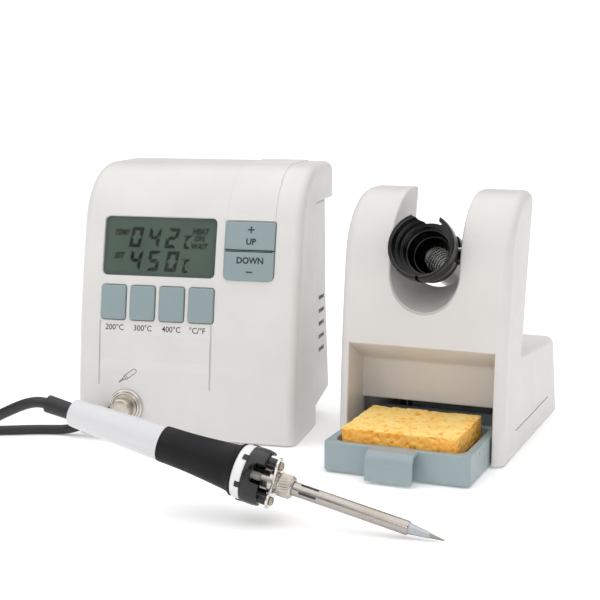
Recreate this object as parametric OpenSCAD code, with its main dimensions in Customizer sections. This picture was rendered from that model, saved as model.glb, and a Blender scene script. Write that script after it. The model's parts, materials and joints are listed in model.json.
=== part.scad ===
// Soldering iron station: controller, iron with cord, iron holder with tray and sponge.
// Millimetres, +Z up, the bench at z = 0, origin at the middle of the footprint.

/* [Controller] */
// Width of the controller
station_w = 133.5; // [120:0.5:150]
// Height of the top of the hood
station_h = 157; // [150:1:165]
// Depth of the hood
hood_d = 94; // [88:1:104]
// Wall of the mouldings
wall = 3; // [2:0.5:3.5]
// Radius of the soft side edges
edge_r = 6; // [4:0.5:8]

/* [Keys] */
// Width of one preset key
key_w = 16.2; // [14:0.1:17]
// Height of one preset key
key_h = 20.6; // [16:0.1:22]
// How far a key stands out, and its travel
key_out = 1.2; // [0.8:0.1:1.5]

/* [Iron] */
// Tilt of the iron above the bench, degrees
iron_tilt = 13; // [10:1:16]
// Outer radius of the barrel
barrel_r = 3.4; // [3:0.1:4]
// Largest radius of the heat guard
guard_r = 13.7; // [12:0.1:15]

/* [Holder] */
// Width of the holder
holder_w = 95; // [90:1:105]
// Height of the towers
tower_h = 146; // [138:1:152]
// Depth of the base of the holder
holder_d = 143; // [130:1:150]
// Radius of the cradle between the towers
cradle_r = 19.5; // [18:0.5:22]
// Tilt of the funnel, degrees
funnel_tilt = 20; // [10:1:28]

/* [Tray] */
// Width of the tray
tray_w = 80.8; // [74:0.2:81]
// Length of the tray
tray_l = 90; // [70:1:92]
// How far the tray stands out of the front
tray_out = 40; // [0:1:45]
// Height of the tray's rim
tray_h = 17.3; // [14:0.1:18]

/* [Cord] */
// Diameter of the iron's cord
cord_d = 5.5; // [5:0.1:6]

/* [Hidden] */
$fn = 64;

station_at = [-69.3, -2.9, 0];    // middle of the controller's front edge
holder_at = [69, -8.5, 0];       // middle of the holder's front edge
holder_yaw = -8;
iron_at = [102.2, -133.3, 0.9];   // point of the tip
iron_yaw = -5;

module at_station() translate(station_at) children();
module at_holder() translate(holder_at) rotate([0, 0, holder_yaw]) children();
module at_iron() translate(iron_at) rotate([0, iron_tilt - 90, iron_yaw]) children();

// A cylinder along X, centred; a box from its low corner, and one centred in X.
module x_cyl(r, w) rotate([0, 90, 0]) cylinder(r = r, h = w, center = true);
module y_cyl(r, l) rotate([-90, 0, 0]) cylinder(r = r, h = l);
module box_x(w, y0, y1, z0, z1) translate([-w / 2, y0, z0]) cube([w, y1 - y0, z1 - z0]);
module ring(r1, r0, h) difference() {
    cylinder(r = r1, h = h);
    translate([0, 0, -1]) cylinder(r = r0, h = h + 2);
}

// ---- bowed body: a large front arc that runs into a small arc and a flat top ----
// big = [radius, drop of its centre], small = radius, top = height, w = width, end = depth
function big_y(big) = sqrt(big[0] * big[0] - big[1] * big[1]);
function small_z(small, top) = top - small;
function small_y(big, small, top) =
    big_y(big) - sqrt(pow(big[0] - small, 2) - pow(small_z(small, top) + big[1], 2));
function join_a(big, small, top) = asin((small_z(small, top) + big[1]) / (big[0] - small));

// Corner of a section, rounded e deep in three flats, from its side to its top.
function soft_corner(a, b, e) = e == 0 ? [[a, b]] :
    [for (q = [0, 30, 60, 90]) [a - e + e * cos(q), b - e + e * sin(q)]];
function reversed(list) = [for (i = [len(list) - 1:-1:0]) list[i]];
module soft_disc(r, w, e) rotate([0, 90, 0]) rotate_extrude() polygon(concat([[0, -w / 2]],
    [for (p = reversed(soft_corner(r, w / 2, e))) [p[0], -p[1]]], soft_corner(r, w / 2, e),
    [[0, w / 2]]));
module soft_top(w, y0, y1, z0, z1, e) translate([0, y1, 0]) rotate([90, 0, 0])
    linear_extrude(height = y1 - y0) polygon(concat([[-w / 2, z0], [w / 2, z0]],
        soft_corner(w / 2, z1, e), [for (p = reversed(soft_corner(w / 2, z1, e))) [-p[0], p[1]]]));
module bowed(big, small, top, w, end, t = 0, e = 0) {
    zs = small_z(small, top);
    ys = small_y(big, small, top);
    tilt = [-join_a(big, small, top), 0, 0];
    intersection() {
        translate([0, big_y(big), -big[1]]) soft_disc(big[0] - t, w, e, $fn = 720);
        translate([0, ys, zs]) rotate(tilt) box_x(w + 2, -200, 200, -260, 0);
        box_x(w + 2, -5, end, -3, top);
    }
    intersection() {
        translate([0, ys, zs]) soft_disc(small - t, w, e, $fn = 128);
        translate([0, ys, zs]) rotate(tilt) box_x(w + 2, -90, 90, 0, 90);
        box_x(w + 2, -5, ys + 4, 0, top + 5);
    }
    soft_top(w, ys, end, zs - 30, top - t, e);
}
module soft_bowed(big, small, top, w, end) bowed(big, small, top, w, end, 0, edge_r);

// ---- controller ----
st_big = [588, 20];
st_small = 42;
seam_y = 50.7;          // front shell meets rear cover
hood_z = 135.5;         // underside of the hood's lip
lcd = [-18, 110.6, 67.8, 33.6];                     // x, z, width, height
preset_x = [-44.5, -26.6, -8.7, 9.2];
preset_z = 78.5;
set_x = 36.7;
set_w = 30.4;
set_h = 17.1;
up_z = 119.3;
down_z = 101.8;
socket = [-35.3, 17.8];
board_z = 98;

function face_y(z) = big_y(st_big) - sqrt(pow(st_big[0], 2) - pow(z + st_big[1], 2));
function face_tilt(z) = asin((z + st_big[1]) / st_big[0]);
// Local frame on the front: X right, Y into the body, Z up along the face.
module on_face(x, z) translate([x, face_y(z), z]) rotate([-face_tilt(z), 0, 0]) children();
module face_box(w, h, y0, y1) box_x(w, y0, y1, -h / 2, h / 2);

module hood_space() intersection() {
    bowed(st_big, st_small, station_h, station_w - 2 * wall, hood_d - wall, wall);
    union() {
        box_x(station_w, -5, seam_y + 0.5, -5, station_h);
        box_x(station_w, seam_y, hood_d - wall, hood_z + wall, station_h);
        box_x(station_w, seam_y, 77, hood_z - 5, station_h);
    }
}

module front_shell() color("gainsboro") at_station() difference() {
    union() {
        intersection() {
            union() {
                soft_bowed(st_big, st_small, station_h, station_w, hood_d);
                translate([set_x, 0, 0]) intersection() {
                    bowed(st_big, st_small, station_h, set_w - 1, hood_d, -0.6);
                    box_x(set_w, -5, hood_d, 128.6, 170);
                }
            }
            box_x(station_w + 2, -5, hood_d, 1, 170);
        }
    }
    difference() {
        hood_space();
        for (x = [-57, 57], z = [-26, 26])
            on_face(x, board_z) translate([0, -1, z]) y_cyl(2.6, 11.2);
        for (x = [-58, 58], y = [20, 42]) translate([x, y, 1]) {
            cylinder(r = 4, h = 20);
            translate([x > 0 ? 0 : -8, -1.5, 0]) cube([8, 3, 20]);
        }
    }
    box_x(station_w + 4, seam_y, hood_d + 5, -5, hood_z);
    box_x(station_w - 2 * wall, 4, seam_y + 1, -5, 4.5);
    for (x = [-58, 58], y = [20, 42]) translate([x, y, 0]) cylinder(r = 1.3, h = 14);
    on_face(lcd[0], lcd[1]) face_box(lcd[2] + 0.4, lcd[3] + 0.4, -4, 8);
    for (x = preset_x) on_face(x, preset_z) face_box(key_w + 0.4, key_h + 0.4, -4, 8);
    on_face(set_x, (up_z + down_z) / 2) face_box(set_w + 0.4, 35.4, -4, 8);
    for (x = [-52.4, 15.8]) on_face(x, 49) face_box(0.9, 38, -2, 0.8);
    on_face(socket[0], socket[1]) translate([0, -4, 0]) y_cyl(8, 12);
}

rear_out = [[seam_y, 8.6], [91.5, 15], [88.9, 31], [83, 72], [80, hood_z], [seam_y, hood_z]];
rear_in = [[seam_y - 1, 11.4], [88.5, 17.6], [86, 31], [80.1, 72], [77.2, hood_z - wall],
           [seam_y - 1, hood_z - wall]];
// Frame on the lower rear face: X right, Y out of the back, Z up along the face.
rear_tilt = 8.2;
module on_rear(x, z) translate([x, 88.9 - (z - 31) * 5.9 / 41, z]) rotate([rear_tilt, 0, 0]) children();

module yz_prism(points, w) translate([-w / 2, 0, 0]) rotate([90, 0, 90])
    linear_extrude(height = w) polygon(points);

module rear_cover() color("silver") at_station() difference() {
    yz_prism(rear_out, station_w - 2.4);
    difference() {
        yz_prism(rear_in, station_w - 2.4 - 2 * wall);
        for (x = [-46, 46], z = [36, 106]) translate([x, 67.6, z]) y_cyl(3, 20);
        for (x = [-57, 57], z = [24, 120]) translate([x, 54, z]) y_cyl(4, 40);
    }
    for (i = [-5:5]) translate([i * 7, 90, 104]) cube([2.6, 30, 30], center = true);
    for (x = [-1, 1], i = [0:4])
        translate([x * station_w / 2, 70, 44 + 8 * i]) cube([12, 14, 2.6], center = true);
    for (x = [-57, 57], z = [24, 120]) translate([x, 53, z]) y_cyl(1.4, 50);
    on_rear(-34, 48) translate([0, -6, 0]) box_x(19.4, 0, 12, -6.6, 6.6);
    for (x = [10, 40]) on_rear(x, 48) translate([0, -6, 0]) y_cyl(6.2, 12);
}

module base_plate() color("dimgray") at_station() difference() {
    union() {
        box_x(station_w - 2 * wall - 0.4, 4.2, seam_y - 0.3, 2, 4.5);
        for (x = [-50, 50]) translate([x, 14, 1.6]) cylinder(r = 3, h = 1);
    }
    for (x = [-58, 58], y = [20, 42]) translate([x, y, 0]) cylinder(r = 1.6, h = 10);
    for (i = [-6:6]) translate([i * 6, 30, 3]) cube([2, 16, 9], center = true);
}

module station_feet() color("#222222") at_station() {
    for (x = [-50, 50]) translate([x, 14, 0]) difference() {
        cylinder(r = 6, h = 2);
        translate([0, 0, 1.6]) cylinder(r = 3.05, h = 1);
    }
    difference() {
        for (x = [-46, 46]) translate([x, 76, 0]) cylinder(r1 = 5.4, r2 = 6.6, h = 16);
        yz_prism(rear_out, station_w - 2.4);
    }
}

module screw(head_r, head_h, r, l) {
    difference() {
        cylinder(r = head_r, h = head_h);
        for (a = [0, 90]) rotate([0, 0, a]) translate([0, 0, -0.1])
            cube([head_r * 1.2, 0.7, head_h], center = true);
    }
    cylinder(r = r, h = l);
}

module case_screws() color("slategray") at_station() {
    for (x = [-58, 58], y = [20, 42]) translate([x, y, 0.7]) screw(2.8, 1.3, 1.25, 12);
    for (x = [-57, 57], p = [[90.5, 24], [81, 120]]) translate([x, p[0] + 1.6, p[1]])
        rotate([90, 0, 0]) screw(2.8, 1.6, 1.35, 24);
}

module lcd_window() color("#3c4a44") at_station() on_face(lcd[0], lcd[1])
    face_box(lcd[2], lcd[3], -0.2, 1.8);

module lcd_module() color("#7f8f80") at_station() on_face(lcd[0], lcd[1]) {
    face_box(64, 30.6, 1.8, 5);
    face_box(66, 32.4, 5, 9.4);
    for (x = [-31, 31], z = [-14, 14]) translate([x, 9.4, z]) y_cyl(0.4, 2.6);
}

module display_board() color("darkgreen") at_station() on_face(0, board_z) difference() {
    face_box(120, 62, 10.2, 11.8);
    for (x = [-57, 57], z = [-26, 26]) translate([x, 9, z]) y_cyl(1.3, 4);
}

module switch_6mm() {
    translate([0, 5.4, 0]) y_cyl(1.7, 1.2);
    face_box(6, 6, 6.4, 9.6);
    for (x = [-2.3, 2.3], z = [-2.3, 2.3]) translate([x, 9.6, z]) y_cyl(0.4, 2.6);
}
module tact_switches() color("#303030") at_station() {
    for (x = preset_x) on_face(x, preset_z) switch_6mm();
    for (z = [up_z, down_z]) on_face(set_x, z) switch_6mm();
}

module key_cap(w, h) {
    face_box(w, h, -key_out, 3.9);
    face_box(w - 1, h + 2.2, 3.2, 3.9);
    face_box(5, 5, 3.9, 4.1);
}
module preset_key(i) color("#97a6aa") at_station() on_face(preset_x[i], preset_z)
    key_cap(key_w, key_h);
module key_preset_1() preset_key(0);
module key_preset_2() preset_key(1);
module key_preset_3() preset_key(2);
module key_preset_4() preset_key(3);
module set_key(z, lip) color("#97a6aa") at_station() on_face(set_x, z) {
    face_box(set_w, set_h, -key_out, 3.9);
    translate([0, 0, lip]) face_box(set_w - 1, set_h - 2, 3.4, 3.9);
    face_box(5, 5, 3.9, 4.1);
}
module key_up() set_key(up_z, 2);
module key_down() set_key(down_z, -2);

module main_board() color("darkgreen") at_station() difference() {
    box_x(104, 66, 67.6, 24, 118);
    for (x = [-46, 46], z = [36, 106]) translate([x, 65, z]) y_cyl(1.3, 4);
}
module board_parts() color("#555555") at_station() {
    translate([-30, 58, 92]) for (i = [0:4]) translate([-12 + i * 6, 0, 0]) cube([1.4, 8, 22], center = true);
    box_x(27, 62.4, 66, 81, 103);
    translate([-30, 0, 0]) box_x(27, 62.4, 66, 81, 103);
    for (x = [14, 28]) translate([x, 66, 96]) rotate([90, 0, 0]) cylinder(r = 5, h = 13);
    translate([-22, 0, 0]) box_x(15, 50.5, 66, 36, 48);
    translate([8, 0, 0]) box_x(22, 56, 66, 32, 44);
    translate([34, 0, 0]) box_x(10, 62, 66, 60, 82);
}

tr_x = 16;
module transformer_core() color("#5b5f63") at_station() translate([tr_x, 0, 0]) difference() {
    box_x(57, 13, 39, 4.5, 52.5);
    for (s = [-1, 1]) translate([s * 14.3, 0, 0]) box_x(9.6, 12, 40, 14, 43);
}
module transformer_coil() color("goldenrod") at_station() translate([tr_x, 0, 0]) difference() {
    box_x(37.4, 7, 45, 14.4, 42.4);
    box_x(19.2, 12.8, 39.2, 13, 44);
}
module transformer_bracket() color("lightgray") at_station() translate([tr_x, 0, 0]) {
    box_x(59.4, 20, 32, 52.5, 53.7);
    for (s = [-1, 1]) {
        translate([s * 29.2, 0, 0]) box_x(1.2, 20, 32, 4.5, 53);
        translate([s * 33, 0, 0]) difference() {
            box_x(8, 20, 32, 4.5, 5.7);
            translate([0, 26, 0]) cylinder(r = 1.7, h = 12);
        }
    }
}

// Panel socket of the iron and its right-angle plug; local Y runs into the body.
module at_socket() at_station() on_face(socket[0], socket[1]) children();
module socket_body() color("#2b2b2b") at_socket() difference() {
    union() {
        translate([0, -2.6, 0]) y_cyl(7.9, 16);
        translate([0, 3.2, 0]) y_cyl(9.6, 2);
    }
    translate([0, -3, 0]) y_cyl(6.3, 9);
    for (a = [0:60:300]) rotate([0, a, 0]) translate([3.2, 5, 0]) y_cyl(0.8, 12);
}
module socket_nut() color("silver") at_socket() difference() {
    union() {
        translate([0, -2.4, 0]) y_cyl(10.5, 2.4);
        translate([0, -3.2, 0]) rotate([-90, 0, 0]) cylinder(r1 = 9.6, r2 = 10.5, h = 0.8);
    }
    translate([0, -4, 0]) y_cyl(7.95, 6);
}
plug_drop = 24;
module plug_body() color("#8c8f92") at_socket() difference() {
    union() {
        translate([0, -10.6, 0]) y_cyl(6.2, 15);
        translate([0, -11.2, 0]) rotate([-90, 0, 0]) cylinder(r1 = 5.4, r2 = 6.2, h = 0.6);
    }
    translate([0, -12, 0]) box_x(8, 0, 1.4, -0.6, 0.6);
    translate([0, -7, 0]) rotate([0, -90 - plug_drop, 0]) translate([0, 0, 4.4]) cylinder(r = 3.4, h = 9);
}
module plug_boot() color("#262626") at_socket() translate([0, -7, 0]) rotate([0, -90 - plug_drop, 0])
    translate([0, 0, 4.4]) {
        cylinder(r = 3.4, h = 4);
        translate([0, 0, 2.2]) cylinder(r1 = 3.8, r2 = 3.3, h = 20.4);
        for (i = [0:4]) translate([0, 0, 6 + 3.2 * i]) cylinder(r = 3.9 - 0.1 * i, h = 1.5);
    }

module switch_frame() color("#1f1f1f") at_station() on_rear(-34, 48) difference() {
    union() {
        box_x(21.6, 0, 1.4, -7.6, 7.6);
        box_x(19.2, -12, 0, -6.5, 6.5);
    }
    box_x(15.6, -6.4, 2, -4.9, 4.9);
    translate([0, -5, -5.8]) cylinder(r = 1.6, h = 11.6);
}
module power_rocker() color("#2a2a2a") at_station() on_rear(-34, 48) translate([0, -5, 0]) {
    translate([0, 0, -4.7]) rotate([0, 0, 8]) linear_extrude(height = 9.4)
        polygon([[-7.3, -0.2], [7.3, -0.2], [7.3, 2], [6.6, 7.6], [0, 6.2], [-6.6, 7.6], [-7.3, 2]]);
    translate([0, 0, -5.5]) cylinder(r = 1.4, h = 11);
}
module fuse_holder() color("#1f1f1f") at_station() on_rear(10, 48) {
    translate([0, -15, 0]) y_cyl(6, 15);
    difference() {
        y_cyl(8, 6);
        translate([0, 5, 0]) box_x(9, 0, 2, -0.7, 0.7);
    }
}
module mains_gland() color("#1f1f1f") at_station() on_rear(40, 48) difference() {
    union() {
        translate([0, -8, 0]) y_cyl(6, 8);
        rotate([-90, 0, 0]) cylinder(r = 9, h = 4, $fn = 6);
        translate([0, 4, 0]) rotate([-90, 0, 0]) cylinder(r1 = 7, r2 = 4.6, h = 12);
    }
    translate([0, -9, 0]) y_cyl(3.4, 30);
}

// ---- iron: local Z runs from the point of the tip to the tail ----
module at_z(z) translate([0, 0, z]) children();
// Turns of the flange's lobes with their screws, and of the guard's windows
lobe_turns = [345, 105, 225];
window_turns = [297, 57, 177];

module lathe(points) rotate_extrude() polygon(points);

module soldering_tip() color("#8b8b8b") at_iron() difference() {
    lathe([[0, 0], [0.45, 0.2], [1.25, 7], [2.75, 17], [2.75, 18], [3, 18.6], [3, 45], [0, 45]]);
    at_z(21.6) cylinder(r = 2, h = 30);
}
module barrel_tube() color("#c8ccd0") at_iron() difference() {
    union() {
        at_z(17.2) cylinder(r = barrel_r, h = 59.8);
        at_z(76) cylinder(r = 4.6, h = 1.2);
    }
    at_z(18) cylinder(r = 3.05, h = 62);
    at_z(10) cylinder(r = 2.8, h = 20);
    for (a = [46:72:334]) rotate([0, 0, a]) translate([0, 0, 62.3]) cube([5, 1.2, 9]);
}
module barrel_nut() color("#d6c8b8") at_iron() difference() {
    at_z(74.8) cylinder(r = 5.7, h = 7.4);
    at_z(70) cylinder(r = 3.5, h = 20);
    at_z(75.9) cylinder(r = 4.88, h = 12);
    for (a = [0:20:340]) rotate([0, 0, a]) translate([5.7, 0, 76]) cylinder(r = 0.35, h = 5.4);
}
module thread_nipple() color("#b9a27a") at_iron() difference() {
    union() {
        at_z(77.4) cylinder(r = 4.8, h = 13);
        at_z(84.1) cylinder(r = 6.4, h = 2);
    }
    at_z(70) cylinder(r = 2.6, h = 30);
}
module flange_plate() color("#d9dcdf") at_iron() at_z(82.8) difference() {
    union() {
        cylinder(r = 7.4, h = 1.3);
        for (a = lobe_turns) rotate([0, 0, a]) {
            translate([9.4, 0, 0]) cylinder(r = 4.2, h = 1.3);
            translate([4, -4.2, 0]) cube([5.4, 8.4, 1.3]);
        }
    }
    at_z(-1) cylinder(r = 4.85, h = 4);
    for (a = lobe_turns) rotate([0, 0, a]) translate([9.8, 0, -1]) cylinder(r = 1.3, h = 4);
}
module flange_screws() color("#b8a78e") at_iron() for (a = lobe_turns)
    rotate([0, 0, a]) translate([9.8, 0, 81.2]) screw(2.1, 1.6, 1.2, 14.4);
module guard_ring() color("#242424") at_iron() difference() {
    union() {
        at_z(95.6) ring(guard_r, 5.2, 1.9);
        difference() {
            at_z(88.4) ring(guard_r, guard_r - 1.9, 7.4);
            for (a = window_turns) rotate([0, 0, a]) translate([0, -4.6, 86]) cube([20, 9.2, 9.6]);
        }
        for (a = lobe_turns) rotate([0, 0, a]) translate([9.8, 0, 84.1]) cylinder(r = 2.7, h = 11.8);
        for (a = [0:60:300]) rotate([0, 0, a]) translate([11.9, -1.4, 97]) cube([1.8, 2.8, 3]);
    }
    for (a = lobe_turns) rotate([0, 0, a]) translate([9.8, 0, 80]) cylinder(r = 1.22, h = 16);
}
module handle_collar() color("ivory") at_iron() difference() {
    lathe([[7.1, 97.5], [13.3, 97.5], [13.4, 98.4], [13.1, 100.6], [12.6, 102.4], [12.2, 102.9],
           [7.1, 102.9]]);
    for (a = [0:60:300]) rotate([0, 0, a]) translate([11.8, -1.5, 96]) cube([4, 3, 4.1]);
}
module grip_sleeve() color("#333335") at_iron() difference() {
    lathe([[5, 103], [12.9, 103], [12.8, 103.8], [12, 104.8], [11.4, 106.6], [11, 110], [10.4, 116],
           [9.7, 124], [9.2, 132], [8.95, 140], [8.8, 144], [5, 144]]);
    at_z(100) cylinder(r = 7.05, h = 50);
}
module rear_handle() color("whitesmoke") at_iron() difference() {
    union() {
        at_z(98) cylinder(r = 7, h = 48);
        lathe([[0, 144], [8.7, 144], [8.5, 152], [7.1, 190], [6.7, 193.6], [6, 194.4], [0, 194.4]]);
    }
    at_z(90) cylinder(r = 5.4, h = 92);
    at_z(175) cylinder(r = 3.6, h = 30);
}
module heater_rod() color("ghostwhite") at_iron() at_z(22) cylinder(r = 1.9, h = 82);
module terminal_board() color("darkgreen") at_iron() difference() {
    translate([-4.4, -0.8, 102]) cube([8.8, 1.6, 34]);
    at_z(100) cylinder(r = 1.95, h = 4.2);
}
module cord_boot() color("#262626") at_iron() difference() {
    union() {
        at_z(180) cylinder(r = 3.55, h = 16);
        at_z(194.6) cylinder(r1 = 4.2, r2 = 4.5, h = 14);
    }
    at_z(170) cylinder(r = 2.7, h = 36);
}

// ---- holder ----
h_big = [777, 0.01];
h_small = 40;
channel_w = 82.8;
recess_z = 62.6;
slope_z = 50;
slot_z = 26.6;
recess_y = 26;
block_y = 130;
pivot = [22, 111.2];
ramp_tilt = 20;
ramp_end = 34;

module tower_wedge(t) yz_prism([[120, 56 - t], [39 - t, 55.5 - t], [57.4 - t * 1.1, tower_h + 2],
                                [57.4, 190], [200, 190], [200, 56 - t]], holder_w + 4);
module block_wedge(t) {
    yz_prism([[36, 56.6 - t], [block_y + 3, 49.4 - t], [200, 49.4 - t], [200, 70 - t]], holder_w + 4);
    yz_prism([[block_y - t, 50], [holder_d - t, 0.2], [holder_d - t, -5], [200, -5], [200, 60],
              [block_y - t - 2.5, 60]], holder_w + 4);
}
module cradle_cut(r) {
    behind = ramp_end - (r - cradle_r);
    translate([0, 8, 103.3]) rotate([ramp_tilt - 90, 0, 0]) translate([0, 0, -30]) cylinder(r = r, h = 57.7);
    box_x(2 * r, -22, 90, 104.6, 200);
    translate([0, behind, 101.9]) y_cyl(r, 50);
    box_x(2 * r, behind, 90, 101.9, 200);
}
module holder_solid(t) difference() {
    intersection() {
        if (t == 0) soft_bowed(h_big, h_small, tower_h, holder_w, 150);
        else bowed(h_big, h_small, tower_h, holder_w - 2 * t, 150, t);
        box_x(holder_w + 2, -6, 150, t == 0 ? 1 : -2, 180);
    }
    tower_wedge(t);
    block_wedge(t);
}
module holder_shell() color("gainsboro") at_holder() difference() {
    holder_solid(0);
    difference() {
        holder_solid(2.6);
        cradle_cut(cradle_r + 2.6);
        yz_prism([[-6, -8], [-6, recess_z + 2.6], [4, recess_z + 2.6], [recess_y + 2.6, slope_z + 2],
                  [recess_y + 2.6, slot_z], [recess_y, slot_z], [recess_y, -8]], channel_w + 20);
        for (s = [-1, 1], y = [100, 133]) translate([s * 38, y, 4]) cylinder(r = 3.6, h = 60);
        for (s = [-1, 1]) translate([s * 24, pivot[0], pivot[1]]) x_cyl(5, 8);
    }
    cradle_cut(cradle_r);
    yz_prism([[-6, -5], [-6, recess_z], [3.2, recess_z], [recess_y, slope_z], [recess_y, slot_z],
              [60, slot_z], [60, -5]], channel_w);
    for (s = [-1, 1]) translate([s * holder_w / 2, 0, 0]) box_x(1.2, 31, 116, 13.6, 14.6);
    for (s = [-1, 1], y = [100, 133]) translate([s * 38, y, 0]) cylinder(r = 1.3, h = 20);
    for (s = [-1, 1]) translate([s * 23, pivot[0], pivot[1]]) x_cyl(2, 9);
}
module holder_base() color("dimgray") at_holder() difference() {
    union() {
        box_x(89.4, 92, 139, 2, 4);
        for (s = [-1, 1]) translate([s * 42.8, 0, 0]) box_x(2.4, 29, 92.5, 1, 12);
    }
    for (s = [-1, 1], y = [100, 133]) translate([s * 38, y, 0]) cylinder(r = 1.6, h = 10);
}
module holder_weight() color("#6b6e70") at_holder() difference() {
    box_x(66, 95, 134, 4, 16);
    for (s = [-1, 1]) translate([s * 24, 116, 0]) cylinder(r = 2.5, h = 30);
}
module holder_feet() color("#222222") at_holder() {
    for (s = [-1, 1]) translate([s * 44.4, 0, 0]) box_x(4, 6, 20, 0, 1);
    for (s = [-1, 1]) translate([s * 30, 116, 0]) cylinder(r = 6, h = 2);
}
module holder_screws() color("slategray") at_holder()
    for (s = [-1, 1], y = [100, 133]) translate([s * 38, y, 0.7]) screw(2.8, 1.3, 1.25, 14);

// Funnel: local Z runs from its mouth to the back, turned down by its tilt.
mouth = [pivot[0] - 24 * cos(funnel_tilt), pivot[1] + 24 * sin(funnel_tilt)];
module at_funnel() at_holder() translate([0, mouth[0], mouth[1]]) rotate([-90 - funnel_tilt, 0, 0])
    children();
module funnel() color("#1d1d1f") at_funnel() difference() {
    union() {
        lathe([[0, 0], [18.6, 0], [18.6, 8], [17.6, 14], [15.4, 20], [15.4, 26], [13, 32], [9.6, 36],
               [9.6, 40], [0, 40]]);
        translate([0, 0, 24]) x_cyl(4.6, 37.6);
        translate([0, 0, 24]) intersection() {
            x_cyl(4.6, 37.6);
            cylinder(r = 18.8, h = 10, center = true);
        }
        rotate([0, 0, -22]) translate([16.4, -2.4, 12]) cube([2.6, 4.8, 8]);
    }
    at_z(-1) cylinder(r = 16.2, h = 7);
    at_z(5) cylinder(r = 14.6, h = 6.1);
    at_z(11) cylinder(r = 13, h = 6.1);
    at_z(17) cylinder(r1 = 12.2, r2 = 10.8, h = 8.1);
    at_z(25) cylinder(r1 = 10.4, r2 = 7.2, h = 9);
    at_z(33) cylinder(r = 7.2, h = 9);
    at_z(-1) linear_extrude(height = 18)
        polygon([[-9.5, -19], [-6.5, -16], [0, -13.8], [8.8, -13.2], [9.2, -19]]);
    translate([0, 0, 24]) difference() {
        x_cyl(2.06, 60);
        x_cyl(4, 29);
    }
    translate([-1, 15.5, -1]) cube([2, 5, 12]);
}
module funnel_pins() color("silver") at_holder() for (s = [-1, 1])
    translate([s * 21.4, pivot[0], pivot[1]]) x_cyl(2, 12);

// Wire spring: one swept wire, turns close together.
spring = [7.9, 1.2, 4.4, 9];   // radius, wire, pitch, turns
spring_n = 14;
function spring_pt(i) = let (a = 360 * i / spring_n)
    [spring[0] * cos(a), spring[0] * sin(a), spring[2] * i / spring_n];
spring_path = [for (i = [0:spring_n * spring[3]]) spring_pt(i)];
module rest_spring() color("#3a3a3c") at_funnel() at_z(41.2) sweep(spring_path, spring[1] / 2, 6);

module sponge_tray() color("#5f7f88") at_holder() translate([0, -tray_out, 0]) difference() {
    union() {
        box_x(tray_w, 0, tray_l, 1, tray_h);
        for (s = [-1, 1], y = [8, tray_l - 8]) translate([s * 34, y, 0]) cylinder(r = 2, h = 2);
        pull_tab();
    }
    box_x(tray_w - 9, 4, 61, 11.5, 30);
    box_x(58, 7.5, 53.5, 4, 12);
    box_x(tray_w - 9, 63.4, tray_l - 4, 4, 30);
}
module pull_tab() translate([-0.4, 0, 0]) {
    box_x(26, -4, 0.6, tray_h - 2.4, tray_h - 0.2);
    translate([0, -4, tray_h - 6.2]) intersection() {
        difference() {
            x_cyl(6, 26);
            x_cyl(3.8, 28);
        }
        box_x(30, -10, 0, 0, 10);
    }
    yz_prism([[-10, tray_h - 6.2], [-7.8, tray_h - 6.2], [-8.8, 2], [-11, 1.4]], 26);
}
module sponge() color("#ffc860") at_holder() box_x(64, -35.6, 16.6, 11.6, 25);

// ---- cord ----
function unit(v) = v / norm(v);
function along(path, i) = unit(path[min(i + 1, len(path) - 1)] - path[max(i - 1, 0)]);
function side_of(d) = unit(cross(abs(d[2]) > 0.9 ? [1, 0, 0] : [0, 0, 1], d));
module sweep(path, r, sides) {
    n = len(path);
    rings = [for (i = [0:n - 1]) let (d = along(path, i), u = side_of(d), v = cross(d, u))
        [for (k = [0:sides - 1]) path[i] + r * (cos(360 * k / sides) * u + sin(360 * k / sides) * v)]];
    points = [for (ring = rings, p = ring) p];
    walls = [for (i = [0:n - 2], k = [0:sides - 1]) let (a = i * sides + k, b = i * sides + (k + 1) % sides)
        each [[a, a + sides, b], [b, a + sides, b + sides]]];
    caps = [[for (k = [0:sides - 1]) k], [for (k = [sides - 1:-1:0]) (n - 1) * sides + k]];
    polyhedron(points = points, faces = concat(walls, caps));
}
coil_at = [-228, -63];
coil_r = 30;
coil_section = [[-8, 0.45], [8, 0.45], [9, 2], [9, 10], [8, 11.55], [-8, 11.55], [-9, 10], [-9, 2]];
plug_route = [[-129.2, -9.7, 7.3], [-134, -9.4, 5.2], [-141, -8.6, 3.3], [-150, -9.4, 2.8],
              [-160, -12, 2.8], [-170, -15.8, 2.8], [-180, -19.2, 2.8], [-190, -22.2, 2.8],
              [-200, -24.6, 2.8], [-210, -26, 2.9], [-219, -26.6, 3.1], [-228, -26.7, 3.2]];
iron_route = [[-100.8, -115.5, 47.9], [-106, -115.1, 48.1], [-111.5, -114.7, 47], [-117, -114.3, 44.9],
              [-123, -113.8, 42.1], [-131, -113, 38], [-140, -112, 33], [-149, -110.8, 27.4],
              [-158, -109.2, 21.3], [-167, -107.2, 15], [-176, -105, 9.4], [-185, -102.7, 5.3],
              [-194, -101, 3.2], [-203, -99.9, 3.3], [-212, -99.4, 5], [-220, -99.3, 7.5],
              [-228, -99.3, 8.8]];
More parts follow.
